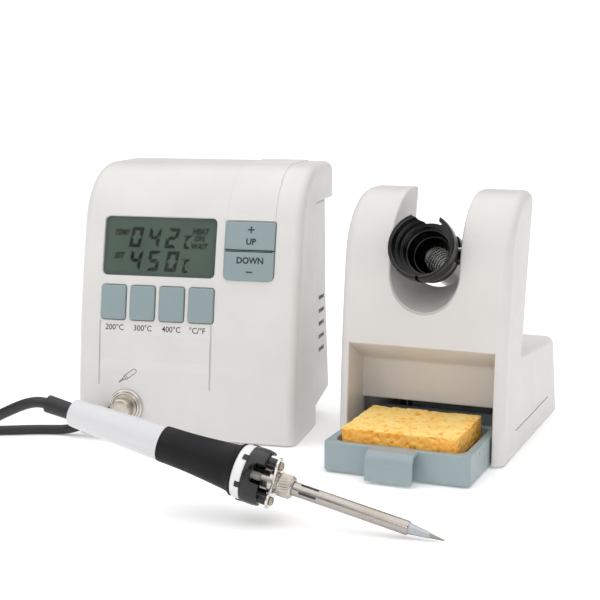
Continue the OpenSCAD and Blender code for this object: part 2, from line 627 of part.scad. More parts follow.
// Smooth points along a route: Catmull-Rom through its own points, k steps to each stretch.
function knot(p, i) = p[max(0, min(len(p) - 1, i))];
function spline(p, k) = concat([for (i = [0:len(p) - 2], j = [0:k - 1])
    let (t = j / k, a = knot(p, i - 1), b = p[i], c = p[i + 1], d = knot(p, i + 2))
        b + t / 2 * (c - a) + t * t * (a - 2.5 * b + 2 * c - d / 2)
          + t * t * t * (1.5 * b - a / 2 - 1.5 * c + d / 2)], [p[len(p) - 1]]);
module cord_plug_side() color("#2c2c2c") sweep(spline(plug_route, 1), cord_d / 2, 8);
module cord_iron_side() color("#2c2c2c") sweep(spline(iron_route, 2), cord_d / 2, 8);
module cord_coil() color("#2c2c2c") translate([coil_at[0], coil_at[1], 0]) rotate_extrude(angle = 360)
    polygon([for (p = coil_section) [coil_r + p[0], p[1]]]);
module cord_tie() color("#3a3a3a") translate([coil_at[0] - coil_r, coil_at[1], 0]) difference() {
    translate([-9.5, -2.5, 0]) cube([19, 5, 12]);
    translate([-9, -3, 0.45]) cube([18, 6, 11.1]);
}

front_shell();
rear_cover();
base_plate();
station_feet();
case_screws();
lcd_window();
lcd_module();
display_board();
tact_switches();
key_preset_1();
key_preset_2();
key_preset_3();
key_preset_4();
key_up();
key_down();
main_board();
board_parts();
transformer_core();
transformer_coil();
transformer_bracket();
socket_body();
socket_nut();
switch_frame();
power_rocker();
fuse_holder();
mains_gland();
plug_body();
plug_boot();
rear_handle();
grip_sleeve();
handle_collar();
guard_ring();
flange_plate();
flange_screws();
thread_nipple();
barrel_nut();
barrel_tube();
soldering_tip();
heater_rod();
terminal_board();
cord_boot();
holder_shell();
holder_base();
holder_weight();
holder_feet();
holder_screws();
funnel();
funnel_pins();
rest_spring();
sponge_tray();
sponge();
cord_plug_side();
cord_coil();
cord_iron_side();
cord_tie();
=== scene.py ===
"""Looks of the soldering iron station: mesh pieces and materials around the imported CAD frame.

Lengths in the builders are millimetres, as in the part's source; objects are written in metres.
"""

import json
import math

import bmesh
import bpy
import numpy as np
from mathutils import Matrix, Vector, noise
from mathutils.kdtree import KDTree

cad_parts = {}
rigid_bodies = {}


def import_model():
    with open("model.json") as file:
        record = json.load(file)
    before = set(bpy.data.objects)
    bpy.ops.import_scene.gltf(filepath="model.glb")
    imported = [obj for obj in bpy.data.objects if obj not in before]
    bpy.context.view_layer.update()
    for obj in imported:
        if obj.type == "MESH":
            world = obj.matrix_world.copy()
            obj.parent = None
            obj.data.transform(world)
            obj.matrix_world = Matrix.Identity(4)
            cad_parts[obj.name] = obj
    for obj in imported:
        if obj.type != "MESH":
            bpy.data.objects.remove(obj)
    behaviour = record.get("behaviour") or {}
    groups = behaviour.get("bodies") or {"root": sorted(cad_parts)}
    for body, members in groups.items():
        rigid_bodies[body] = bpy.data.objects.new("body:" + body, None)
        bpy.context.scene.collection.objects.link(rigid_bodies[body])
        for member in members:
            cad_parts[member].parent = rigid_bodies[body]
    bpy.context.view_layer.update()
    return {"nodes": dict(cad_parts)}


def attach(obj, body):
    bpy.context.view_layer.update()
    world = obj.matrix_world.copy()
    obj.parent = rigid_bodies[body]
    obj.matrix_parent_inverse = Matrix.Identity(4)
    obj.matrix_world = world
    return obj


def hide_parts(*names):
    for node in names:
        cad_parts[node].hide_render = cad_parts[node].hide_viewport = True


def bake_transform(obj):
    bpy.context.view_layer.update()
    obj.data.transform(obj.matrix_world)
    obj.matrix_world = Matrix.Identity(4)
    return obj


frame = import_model()
MM = 0.001

# ---- places, as in the part's source (millimetres) ----
STATION_AT = Vector((-69.3, -2.9, 0))
HOLDER_AT = Vector((69, -8.5, 0))
HOLDER_YAW = -8
IRON_AT = Vector((102.2, -133.3, 0.9))
IRON_TILT = 13
IRON_YAW = -5


def turned(axis, degrees):
    return Matrix.Rotation(math.radians(degrees), 4, axis)


STATION = Matrix.Translation(STATION_AT)
HOLDER = Matrix.Translation(HOLDER_AT) @ turned("Z", HOLDER_YAW)
IRON = Matrix.Translation(IRON_AT) @ turned("Z", IRON_YAW) @ turned("Y", IRON_TILT - 90)


# ---- camera (metres) ----
CAMERA_AT = Vector((0.1813, -0.7042, 0.2109))
LOOK = Vector((-0.24568, 0.95429, -0.17020)).normalized()
RIGHT = Vector((0.96842, 0.24932, 0)).normalized()
SENSOR, LENS = 36, 79.13


def make_camera():
    data = bpy.data.cameras.new("camera")
    data.sensor_width = SENSOR
    data.lens = LENS
    data.clip_start = 0.01
    camera = bpy.data.objects.new("camera", data)
    bpy.context.scene.collection.objects.link(camera)
    turn = Matrix((RIGHT, RIGHT.cross(LOOK), -LOOK)).transposed().to_4x4()
    camera.matrix_world = Matrix.Translation(CAMERA_AT) @ turn
    bpy.context.scene.camera = camera


# ---- materials ----
def linear(r, g, b):
    """An sRGB colour of 0 to 255 as linear RGBA."""
    parts = [c / 255 for c in (r, g, b)]
    return tuple(c / 12.92 if c <= 0.04045 else ((c + 0.055) / 1.055) ** 2.4 for c in parts) + (1,)


class Shader:
    """A node material in the making: a Principled shader and short ways to feed its sockets."""

    def __init__(self, name, roughness=0.5, metallic=0.0, **sockets):
        self.material = bpy.data.materials.new(name)
        self.material.use_nodes = True
        self.nodes = self.material.node_tree.nodes
        self.links = self.material.node_tree.links
        self.shader = self.nodes["Principled BSDF"]
        self.shader.inputs["Roughness"].default_value = roughness
        self.shader.inputs["Metallic"].default_value = metallic
        for socket, value in sockets.items():
            self.shader.inputs[socket.replace("_", " ")].default_value = value
        self.place = self.nodes.new("ShaderNodeTexCoord").outputs["Object"]
        self.height = None

    def noise(self, scale, detail=2.0, rough=0.5, stretch=None):
        node = self.nodes.new("ShaderNodeTexNoise")
        node.inputs["Scale"].default_value = scale
        node.inputs["Detail"].default_value = detail
        node.inputs["Roughness"].default_value = rough
        self.links.new(self.stretched(stretch), node.inputs["Vector"])
        return node.outputs["Fac"]

    def cells(self, scale, feature="F1"):
        node = self.nodes.new("ShaderNodeTexVoronoi")
        node.feature = feature
        node.inputs["Scale"].default_value = scale
        self.links.new(self.place, node.inputs["Vector"])
        return node.outputs["Distance"]

    def stretched(self, stretch):
        """Object coordinates, turned by a matrix's rotation and scaled along its axes."""
        if stretch is None:
            return self.place
        turn, scale = stretch
        node = self.nodes.new("ShaderNodeMapping")
        node.vector_type = "TEXTURE"
        node.inputs["Rotation"].default_value = turn.to_euler()
        node.inputs["Scale"].default_value = [1 / s for s in scale]
        self.links.new(self.place, node.inputs["Vector"])
        return node.outputs["Vector"]

    def attribute(self, name):
        node = self.nodes.new("ShaderNodeAttribute")
        node.attribute_name = name
        return node.outputs["Fac"]

    def remap(self, value, low, high, new_low, new_high):
        node = self.nodes.new("ShaderNodeMapRange")
        for i, x in enumerate((low, high, new_low, new_high)):
            node.inputs[i + 1].default_value = x
        self.links.new(value, node.inputs[0])
        return node.outputs[0]

    def blend(self, factor, a, b):
        """Colour between a and b: each a colour or an output of another blend."""
        node = self.nodes.new("ShaderNodeMix")
        node.data_type = "RGBA"
        self.links.new(factor, node.inputs["Factor"])
        for socket, value in zip((node.inputs[6], node.inputs[7]), (a, b)):
            if isinstance(value, tuple):
                socket.default_value = value
            else:
                self.links.new(value, socket)
        return node.outputs[2]

    def colour(self, value):
        self.links.new(value, self.shader.inputs["Base Color"])

    def rough(self, value):
        self.links.new(value, self.shader.inputs["Roughness"])

    def bump(self, value, depth_mm, strength=1.0):
        """Adds a bump of that depth to those already there."""
        node = self.nodes.new("ShaderNodeBump")
        node.inputs["Distance"].default_value = depth_mm * MM
        node.inputs["Strength"].default_value = strength
        self.links.new(value, node.inputs["Height"])
        if self.height is not None:
            self.links.new(self.height, node.inputs["Normal"])
        self.height = node.outputs["Normal"]
        self.links.new(self.height, self.shader.inputs["Normal"])


def shade(colour, factor):
    return tuple(min(1.0, c * factor) for c in colour[:3]) + (1,)


def moulded(name, colour, roughness=0.42, grain_mm=0.35, depth_mm=0.02, spread=0.03, **sockets):
    """Moulded plastic: a fine spark-eroded grain, slow drifts of colour and gloss, and a painted highlight
    along pointy convex edges.
    """
    s = Shader(name, roughness, **sockets)
    drift = s.noise(28, 4, 0.6)
    fine = s.noise(1000 / grain_mm, 2, 0.6)
    pale, dark = shade(colour, 1 + spread), shade(colour, 1 - spread)
    # Pointy convex edges are blended towards a lighter tone: a painted highlight along the edges.
    edge_highlight = s.nodes.new("ShaderNodeNewGeometry").outputs["Pointiness"]
    tone = s.blend(s.remap(drift, 0.3, 0.7, 0, 1), dark, pale)
    s.colour(s.blend(s.remap(edge_highlight, 0.53, 0.62, 0, 0.35), tone, shade(colour, 1.25)))
    scuffs = s.noise(160, 5, 0.75)
    s.rough(s.remap(scuffs, 0.3, 0.75, roughness - 0.07, roughness + 0.09))
    s.bump(fine, depth_mm)
    s.bump(s.noise(90, 2), 0.05, 0.6)
    return s.material


def metal(name, colour, roughness=0.22, turn=Matrix.Identity(3), brush=(1, 1, 1), brush_depth=0.01,
          spread=0.08, tarnish=None):
    """Bare or plated metal with brushing along or round one axis, and stains of another tone."""
    s = Shader(name, roughness, 1.0)
    lines = s.noise(900, 3, 0.7, (turn, brush))
    stains = s.noise(110, 5, 0.65)
    tone = s.blend(s.remap(lines, 0.3, 0.7, 0, 1), shade(colour, 1 - spread), shade(colour, 1 + spread))
    if tarnish:
        tone = s.blend(s.remap(stains, 0.5, 0.72, 0, 0.7), tone, tarnish)
    s.colour(tone)
    s.rough(s.remap(stains, 0.3, 0.7, roughness - 0.06, roughness + 0.1))
    s.bump(lines, brush_depth)
    return s.material


def rubber(name, colour, roughness=0.55, depth_mm=0.03, grain_mm=0.5, **sockets):
    s = Shader(name, roughness, **sockets)
    dust = s.noise(240, 6, 0.7)
    s.colour(s.blend(s.remap(dust, 0.45, 0.75, 0, 0.35), colour, shade(colour, 1.9)))
    s.rough(s.remap(s.noise(70, 4), 0.3, 0.7, roughness - 0.1, roughness + 0.1))
    s.bump(s.noise(1000 / grain_mm, 3, 0.6), depth_mm)
    return s.material


def board(name, colour):
    """Circuit board: solder mask with tracks under it."""
    s = Shader(name, 0.32)
    tracks = s.cells(420, "DISTANCE_TO_EDGE")
    s.colour(s.blend(s.remap(tracks, 0.02, 0.06, 0, 1), shade(colour, 0.55), colour))
    s.bump(tracks, 0.05)
    s.rough(s.remap(s.noise(300), 0.3, 0.7, 0.26, 0.4))
    return s.material


def printed(name, colour, roughness=0.5, **sockets):
    """Screen-printed ink: slightly uneven cover."""
    s = Shader(name, roughness, **sockets)
    s.colour(s.blend(s.remap(s.noise(900, 3), 0.3, 0.7, 0, 1), shade(colour, 0.85), shade(colour, 1.25)))
    s.rough(s.remap(s.noise(500), 0.3, 0.7, roughness - 0.08, roughness + 0.08))
    s.bump(s.noise(2500, 2), 0.01)
    return s.material


def window_glass(name):
    """Thin clear window: almost all of the light passes."""
    s = Shader(name, 0.06, IOR=1.12, Alpha=0.05)
    s.colour(s.blend(s.remap(s.noise(60), 0.3, 0.7, 0, 1), linear(120, 130, 122), linear(160, 172, 160)))
    s.rough(s.remap(s.noise(140, 3), 0.35, 0.7, 0.04, 0.12))
    s.bump(s.noise(40, 1), 0.01)
    return s.material


def sponge_foam(name):
    """Cellulose sponge: light skin with painted shade on its sides, and a deeper orange in the pores, which
    the mesh carries as an attribute: painted shade that deepens with a pore's depth.
    """
    s = Shader(name, 0.85, Subsurface_Weight=0.25, Subsurface_Scale=0.003)
    s.shader.inputs["Subsurface Radius"].default_value = (1.0, 0.55, 0.2)
    mottle = s.noise(130, 5, 0.7)
    skin = s.blend(s.remap(mottle, 0.35, 0.65, 0, 1), linear(255, 204, 104), linear(255, 226, 146))
    deep = s.blend(s.remap(s.cells(420), 0.0, 0.5, 0, 1), linear(206, 122, 26), linear(244, 166, 52))
    # Faces that turn away from the light above take the darker colour named cut: painted shade on the
    # sponge's sides.
    upward = s.nodes.new("ShaderNodeSeparateXYZ")
    s.links.new(s.nodes.new("ShaderNodeNewGeometry").outputs["Normal"], upward.inputs[0])
    cut = s.blend(s.remap(mottle, 0.35, 0.65, 0, 1), linear(238, 168, 66), linear(250, 194, 96))
    skin = s.blend(s.remap(upward.outputs["Z"], 0.1, 0.6, 0, 1), cut, skin)
    # Points deep in a pore take the darker orange: painted shade in the pores.
    s.colour(s.blend(s.attribute("pore_shade"), skin, deep))
    s.rough(s.remap(mottle, 0.3, 0.7, 0.75, 0.95))
    s.bump(s.cells(650), 0.25, 0.7)
    s.bump(s.noise(1600, 3), 0.12, 0.6)
    return s.material


IRON_TURN = IRON.to_3x3()
WHITE = linear(214, 212, 209)
materials = {
    "case": moulded("case_plastic", WHITE, 0.38),
    # The holder's white is a darker copy of the case plastic: painted shade, so that its sides, which catch
    # more light than the controller's, come out as dark as the case.
    "holder_case_shaded": moulded("holder_plastic_shaded", linear(212, 209, 206), 0.38),
    "key": moulded("key_plastic", linear(138, 154, 156), 0.34, spread=0.02),
    "tray": moulded("tray_plastic", linear(146, 161, 164), 0.32, spread=0.02),
    "handle": moulded("handle_plastic", linear(206, 206, 208), 0.36, spread=0.015),
    "collar": moulded("collar_plastic", linear(224, 223, 224), 0.35, spread=0.02),
    "black": moulded("black_plastic", linear(13, 13, 14), 0.28, depth_mm=0.015, spread=0.12),
    "gloss_black": moulded("funnel_plastic", linear(9, 9, 10), 0.2, depth_mm=0.006, spread=0.15),
    "grip": rubber("grip_rubber", linear(9, 9, 10), 0.55, Specular_IOR_Level=0.25),
    "cord": rubber("cord_rubber", linear(20, 20, 21), 0.42, 0.02),
    "foot": rubber("foot_rubber", linear(38, 38, 38), 0.6),
    "chrome": metal("bright_chrome", linear(214, 210, 204), 0.14, brush=(1, 1, 1), spread=0.04),
    "nickel": metal("nickel_cap", linear(196, 188, 176), 0.26, brush=(1, 3, 1),
                    tarnish=linear(150, 138, 120)),
    "steel": metal("barrel_steel", linear(170, 164, 158), 0.2, IRON_TURN, (3, 3, 0.1), 0.004,
                   tarnish=linear(160, 146, 128)),
    "tip_shank": metal("tip_plating", linear(176, 178, 182), 0.5, IRON_TURN, (1, 1, 1), 0.01,
                       tarnish=linear(158, 160, 166)),
    "tip_end": metal("tip_iron", linear(150, 146, 141), 0.25, IRON_TURN, (1, 1, 1), 0.01,
                     tarnish=linear(120, 112, 104)),
    "nut": metal("nut_plating", linear(196, 190, 182), 0.26, IRON_TURN, (1, 1, 1), 0.01,
                 tarnish=linear(176, 164, 146)),
    "plate": metal("flange_plating", linear(214, 211, 206), 0.2, IRON_TURN, (1, 1, 1), 0.01),
    "screw": metal("screw_plating", linear(172, 162, 146), 0.3, tarnish=linear(120, 108, 90)),
    "sheet_steel": metal("sheet_steel", linear(168, 170, 172), 0.35, brush=(0.1, 3, 3),
                         tarnish=linear(130, 128, 122)),
    "core": metal("core_steel", linear(104, 106, 108), 0.5, brush=(0.2, 6, 0.2), brush_depth=0.05,
                  tarnish=linear(90, 70, 56)),
    "copper": metal("winding_copper", linear(196, 122, 62), 0.35, brush=(0.3, 0.3, 8), brush_depth=0.08),
    "spring": metal("spring_wire", linear(186, 184, 180), 0.16),
    "board": board("solder_mask", linear(28, 92, 54)),
    "parts": moulded("component_plastic", linear(52, 52, 56), 0.4, spread=0.1),
    "ceramic": moulded("heater_ceramic", linear(236, 233, 224), 0.3, spread=0.04),
    "lcd": moulded("display_face", linear(70, 84, 74), 0.6, grain_mm=0.2, depth_mm=0.002, spread=0.02,
                   Specular_IOR_Level=0.1),
    "lcd_edge": moulded("display_bezel", linear(52, 62, 58), 0.45, spread=0.08),
    "segment": printed("display_segment", linear(8, 11, 9), 0.6, Specular_IOR_Level=0.05),
    "ink": printed("key_print", linear(38, 44, 48)),
    "window": window_glass("display_window"),
    "sponge": sponge_foam("sponge_cellulose"),
}


# ---- mesh building, in millimetres ----
def publish(name, mesh, place, material, body, replaced=(), smooth=38, weighted=True):
    """Sets mesh in its place in the row frame, in metres, as a piece that rides on a CAD body."""
    mesh.transform(Matrix.Scale(MM, 4) @ place)
    mesh.validate()
    mesh.shade_smooth()
    mesh.set_sharp_from_angle(angle=math.radians(smooth))
    mesh.materials.clear()
    mesh.materials.append(materials[material])
    piece = bpy.data.objects.new(name, mesh)
    bpy.context.scene.collection.objects.link(piece)
    if weighted:
        modifier = piece.modifiers.new("normals", "WEIGHTED_NORMAL")
        modifier.keep_sharp = True
        apply_modifiers(piece)
    if body:
        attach(piece, body)
    if replaced:
        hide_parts(*replaced)
    return piece


def apply_modifiers(piece):
    graph = bpy.context.evaluated_depsgraph_get()
    done = bpy.data.meshes.new_from_object(piece.evaluated_get(graph))
    piece.modifiers.clear()
    piece.data = done


def mesh_of(verts, faces, place=None):
    mesh = bpy.data.meshes.new("build")
    mesh.from_pydata([tuple(v) for v in verts], [], faces)
    tidy(mesh)
    if place is not None:
        mesh.transform(place)
    return mesh


def tidy(mesh):
    """Merges doubled points and points every face outwards."""
    b = bmesh.new()
    b.from_mesh(mesh)
    bmesh.ops.remove_doubles(b, verts=b.verts, dist=1e-4)
    bmesh.ops.recalc_face_normals(b, faces=b.faces)
    b.to_mesh(mesh)
    b.free()


def skin(rings, place=None, closed=False, cap=None):
    """A skin over rings of equal length; the ends are capped by one face or by cap's, or meet if closed."""
    n = len(rings[0])
    count = len(rings)
    verts = [p for ring in rings for p in ring]
    faces = []
    for i in range(count if closed else count - 1):
        a, b = i * n, (i + 1) % count * n
        faces += [(a + k, a + (k + 1) % n, b + (k + 1) % n, b + k) for k in range(n)]
    if not closed:
        faces += [tuple(k + i * n for k in face) for face in cap or [range(n)] for i in (0, count - 1)]
    return mesh_of(verts, faces, place)


def carve(mesh, cutters, operation="DIFFERENCE"):
    """mesh after each cutter is taken away, or joined on."""
    scene = bpy.context.scene.collection.objects
    body = bpy.data.objects.new("body", mesh)
    scene.link(body)
    tools = []
    for cutter in cutters:
        tool = bpy.data.objects.new("tool", cutter)
        scene.link(tool)
        tools.append(tool)
        modifier = body.modifiers.new("cut", "BOOLEAN")
        modifier.operation = operation
        modifier.solver = "EXACT"
        modifier.object = tool
    apply_modifiers(body)
    result = body.data
    for o in [body, *tools]:
        bpy.data.objects.remove(o)
    tidy(result)
    return result


def joined(meshes):
    b = bmesh.new()
    for mesh in meshes:
        b.from_mesh(mesh)
    result = bpy.data.meshes.new("joined")
    b.to_mesh(result)
    b.free()
    return result


def inset(outline, depth):
    """A closed outline moved inwards by depth, with mitred corners."""
    n = len(outline)
    area = sum(outline[i - 1][0] * outline[i][1] - outline[i][0] * outline[i - 1][1] for i in range(n))
    side = math.copysign(1, area)
    moved = []
    for i in range(n):
        a, b, c = (Vector(outline[j % n]) for j in (i - 1, i, i + 1))
        u, v = (b - a).normalized(), (c - b).normalized()
        normal = Vector((-u.y - v.y, u.x + v.x)).normalized()
        stretch = max(0.3, normal.dot(Vector((-u.y, u.x))))
        moved.append(tuple(b + normal * side * depth / stretch))
    return moved


def quarter(edge, steps=5):
    """(inset, depth) pairs round a convex edge, from the flat face over to the wall."""
    turns = (math.radians(90 * k / steps) for k in range(steps + 1))
    return [(edge - edge * math.sin(a), edge - edge * math.cos(a)) for a in turns]


def slab(profile, width, edge=0.0, centre=0.0, steps=5):
    """A (y, z) profile pulled along X, its rims rounded; profile is an outline, or one for each inset."""
    outline = profile if callable(profile) else lambda depth: inset(profile, depth)
    left = quarter(edge, steps) if edge else [(0, 0)]
    rings = [[(centre - width / 2 + depth, y, z) for y, z in outline(off)] for off, depth in left]
    rings += [[(2 * centre - x, y, z) for x, y, z in ring] for ring in reversed(rings)]
    return skin(rings)


def block(low, high):
    """A box between two corners, for cutting."""
    outline = [(low[1], low[2]), (high[1], low[2]), (high[1], high[2]), (low[1], high[2])]
    return slab(outline, high[0] - low[0], centre=(high[0] + low[0]) / 2)


def circle(radius, sides=64):
    turns = (2 * math.pi * k / sides for k in range(sides))
    return [(radius * math.cos(a), radius * math.sin(a)) for a in turns]


def fillet(outline, radii, steps=5):
    """A closed outline with its corners rounded; radii is one number, or one for each corner."""
    n = len(outline)
    result = []
    for i in range(n):
        r = radii if isinstance(radii, (int, float)) else radii[i]
        a, b, c = (Vector(outline[j % n]) for j in (i - 1, i, i + 1))
        if r <= 0:
            result.append(tuple(b))
            continue
        u, v = (a - b).normalized(), (c - b).normalized()
        half = math.acos(max(-1, min(1, u.dot(v)))) / 2
        middle = b + (u + v).normalized() * (r / math.sin(half))
        start = (b + u * (r / math.tan(half)) - middle).normalized()
        end = (b + v * (r / math.tan(half)) - middle).normalized()
        for k in range(steps + 1):
            result.append(tuple(middle + slerp(start, end, k / steps) * r))
    return result


def slerp(a, b, t):
    angle = math.acos(max(-1, min(1, a.dot(b))))
    if angle < 1e-6:
        return a
    return (a * math.sin((1 - t) * angle) + b * math.sin(t * angle)) / math.sin(angle)


def rectangle(x, z, width, height):
    return [(x - width / 2, z - height / 2), (x + width / 2, z - height / 2),
            (x + width / 2, z + height / 2), (x - width / 2, z + height / 2)]


def spaced(outline, step):
    """A closed outline with points no further apart than step, so that it can follow a curved face."""
    result = []
    for i, b in enumerate(outline):
        a, b = Vector(outline[i - 1]), Vector(b)
        count = max(1, math.ceil((b - a).length / step))
        result += [tuple(a.lerp(b, (k + 1) / count)) for k in range(count)]
    return result


def laid(path, surface, levels, cap=None):
    """A skin over (inset, depth) levels of a closed path on a surface."""
    return skin([[surface(x, h, d) for x, h in inset(path, off)] for off, d in levels], cap=cap)


def stack(outline, levels):
    """A skin over (inset, height) levels of one outline, up Z."""
    return laid(outline, lambda x, y, z: (x, y, z), levels)


def pocket(path, surface, depth, edge, steps=4, cap=None):
    """A cutter that sinks a closed path into a surface and rounds the rim of the hole."""
    levels = [(edge, -2.0)] + quarter(edge, steps) + ([(0, depth)] if depth > edge else [])
    return laid(path, surface, [(-off, d) for off, d in levels], cap)


def panel(width, height, surface, back, front):
    """A plate that follows a curved surface."""
    rows = 12
    corners = [(-width / 2, front), (width / 2, front), (width / 2, back), (-width / 2, back)]
    levels = [height * (k / rows - 0.5) for k in range(rows + 1)]
    return skin([[surface(x, h, d) for x, d in corners] for h in levels])


def raised(path, surface, back, front, edge):
    """A cap that stands on a surface, from back out to front (smaller depths), with a rounded rim."""
    return laid(path, surface, [(0, back)] + [(off, front + d) for off, d in reversed(quarter(edge, 4))])


def smooth_profile(points, steps=6):
    """Profile points joined by smooth curves; a point given twice is a corner."""
    result = []
    for i in range(len(points) - 1):
        b, c = points[i], points[i + 1]
        if b == c:
            continue
        a = points[i - 1] if i > 0 else b
        d = points[i + 2] if i + 2 < len(points) else c
        result += [tuple(ease(p, q, r, s, j / steps) for p, q, r, s in zip(a, b, c, d)) for j in range(steps)]
    return result + [points[-1]]


def ease(a, b, c, d, t):
    """Catmull-Rom between b and c."""
    return (b + t / 2 * (c - a) + t * t * (a - 2.5 * b + 2 * c - d / 2)
            + t ** 3 * (1.5 * b - a / 2 - 1.5 * c + d / 2))


def rounded_profile(points, radius, steps=3):
    """An open (radius, distance) profile with each inner corner rounded by up to radius."""
    result = [points[0]]
    for i in range(1, len(points) - 1):
        a, b, c = (Vector(p) for p in points[i - 1:i + 2])
        reach = min(radius, (a - b).length / 2.2, (c - b).length / 2.2)
        start, end = b + (a - b).normalized() * reach, b + (c - b).normalized() * reach
        for k in range(steps + 1):
            t = k / steps
            result.append(tuple(start * (1 - t) ** 2 + b * 2 * t * (1 - t) + end * t * t))
    return result + [points[-1]]


def lathe(profile, sides=96, place=None, closed=False):
    """A turned form from (radius, distance along Z) points."""
    rings = [[(r * c, r * s, z) for c, s in circle(1, sides=sides)] for r, z in profile]
    return skin(rings, place, closed)


def rod(radius, low, high, axis="Z", centre=(0, 0, 0), sides=64):
    """A cylinder along an axis, for cutting or adding."""
    turn = {"X": turned("Y", 90), "Y": turned("X", -90), "Z": Matrix.Identity(4)}[axis]
    return lathe([(radius, low), (radius, high)], sides, Matrix.Translation(Vector(centre)) @ turn)


def spoke(path, inner, outer, turn):
    """A cutter with a (z, y) outline, from inner out to outer along X, turned round Z."""
    cutter = skin([[(r, y, z) for z, y in path] for r in (inner, outer)])
    cutter.transform(turned("Z", turn))
    return cutter


def tube(path, radius, sides=20):
    """A round tube along a path, with rotation-minimising rings."""
    points = [Vector(p) for p in path]
    last = len(points) - 1
    rings, across = [], None
    for i, p in enumerate(points):
        ahead = (points[min(i + 1, last)] - points[max(i - 1, 0)]).normalized()
        across = ahead.orthogonal() if across is None else across
        across = (across - ahead * across.dot(ahead)).normalized()
        other = ahead.cross(across)
        rings.append([p + radius * (c * across + s * other) for c, s in circle(1, sides=sides)])
    return skin(rings)


def spline(points, steps):
    """Catmull-Rom points along a route, as in the part's source."""
    last = len(points) - 1
    out = []
    for i in range(last):
        near = [points[max(0, min(last, i + k))] for k in (-1, 0, 1, 2)]
        out += [Vector([ease(*axis, j / steps) for axis in zip(*near)]) for j in range(steps)]
    return out + [Vector(points[last])]


# ---- the iron's cord, before the rest ----
CORD_R = 2.75
COIL_AT = (-228, -63)
COIL_R = 30
COIL_PITCH = 5.6        # between turns, sideways and upwards
COIL_TURNS = 2.25       # in each of the two layers
COIL_LOW = 3.2          # middle of the cord in the lower layer
COIL_STEPS = 48         # points in each turn
PLUG_ROUTE = [(-129.2, -9.7, 7.3), (-134, -9.4, 5.2), (-141, -8.6, 3.3), (-150, -9.4, 2.8),
              (-160, -12, 2.8), (-170, -15.8, 2.8), (-180, -19.2, 2.8), (-190, -22.2, 2.8),
              (-200, -24.6, 2.8), (-210, -26, 2.9), (-219, -26.6, 3.1), (-228, -26.7, 3.2)]
IRON_ROUTE = [(-100.8, -115.5, 47.9), (-106, -115.1, 48.1), (-111.5, -114.7, 47), (-117, -114.3, 44.9),
              (-123, -113.8, 42.1), (-131, -113, 38), (-140, -112, 33), (-149, -110.8, 27.4),
              (-158, -109.2, 21.3), (-167, -107.2, 15), (-176, -105, 9.4), (-185, -102.7, 5.3),
              (-194, -101, 3.2), (-203, -99.9, 3.3), (-212, -99.4, 5), (-220, -99.3, 7.5),
              (-228, -99.3, 8.8)]


def coil_path():
    """A lower layer that winds in from the plug's side, and one on top of it that winds out again."""
    points = []
    for i in range(1, round(2 * COIL_TURNS * COIL_STEPS)):
        turn = i / COIL_STEPS
        inward = abs(COIL_TURNS - turn)
        r = COIL_R + COIL_PITCH * (inward - COIL_TURNS / 2)
        climb = max(0.0, min(1.0, (turn - COIL_TURNS) / 0.5 + 0.5))
        z = COIL_LOW + COIL_PITCH * climb * climb * (3 - 2 * climb)
        a = math.pi / 2 + 2 * math.pi * turn
        points.append(Vector((COIL_AT[0] + r * math.cos(a), COIL_AT[1] + r * math.sin(a), z)))
    return points


def make_cord():
    """One tube from the plug's boot through the coil to the iron's boot, a little way into each boot."""
    route = spline(PLUG_ROUTE, 4)[:-1] + coil_path() + spline(IRON_ROUTE[::-1], 4)[1:]
    inside_boot = IRON @ Vector((0, 0, 205))
    path = [route[0] + (route[0] - route[1]).normalized() * 3] + route + [inside_boot]
    length = sum((b - a).length for a, b in zip(path, path[1:])) * MM
    mesh = tube(path, CORD_R, 20)
    cord = publish("iron_cord", mesh, Matrix.Identity(4), "cord", None,
                   ["cord_plug_side", "cord_coil", "cord_iron_side"], weighted=False)
    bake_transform(cord)
    return cord, [tuple(p * MM) for p in path], length


make_camera()
cord, cord_path, cord_length = make_cord()


# ---- controller ----
class Bow:
    """A body bowed as in the part's source: a large front arc, a small arc and a flat top."""

    def __init__(self, big, drop, small, top):
        self.big, self.drop, self.small, self.top = big, drop, small, top
        self.yc = math.sqrt(big * big - drop * drop)
        self.zs = top - small
        self.join = math.asin((self.zs + drop) / (big - small))
        self.ys = self.yc - math.sqrt((big - small) ** 2 - (self.zs + drop) ** 2)
        self.start = math.asin(drop / big)
        self.arc_end = big * (self.join - self.start)
        self.top_start = self.arc_end + small * (math.pi / 2 - self.join)

    def at(self, x, s, depth=0.0):
        """The point s along the profile from the bench, depth below the surface."""
        if s < self.arc_end:
            t, r = self.start + s / self.big, self.big - depth
            return Vector((x, self.yc - r * math.cos(t), r * math.sin(t) - self.drop))
        if s < self.top_start:
            t, r = self.join + (s - self.arc_end) / self.small, self.small - depth
            return Vector((x, self.ys - r * math.cos(t), self.zs + r * math.sin(t)))
        return Vector((x, self.ys + s - self.top_start, self.top - depth))

    def along(self, z):
        """How far along the profile a height on the large arc is."""
        return self.big * (math.asin((z + self.drop) / self.big) - self.start)

    def near(self, x0, z0):
        """A surface in its own (x, h, depth), centred on a place on the front."""
        s0 = self.along(z0)
        return lambda x, h, depth=0.0: self.at(x0 + x, s0 + h, depth)

    def outline(self, low, depth, big_steps=26, small_steps=16):
        """(y, z) points from the bottom of the front up to the start of the flat top."""
        rise = [low + (self.arc_end - low) * k / big_steps for k in range(big_steps)]
        turn = [self.arc_end + (self.top_start - self.arc_end) * k / small_steps
                for k in range(small_steps + 1)]
        return [tuple(self.at(0, s, depth).yz) for s in rise + turn]


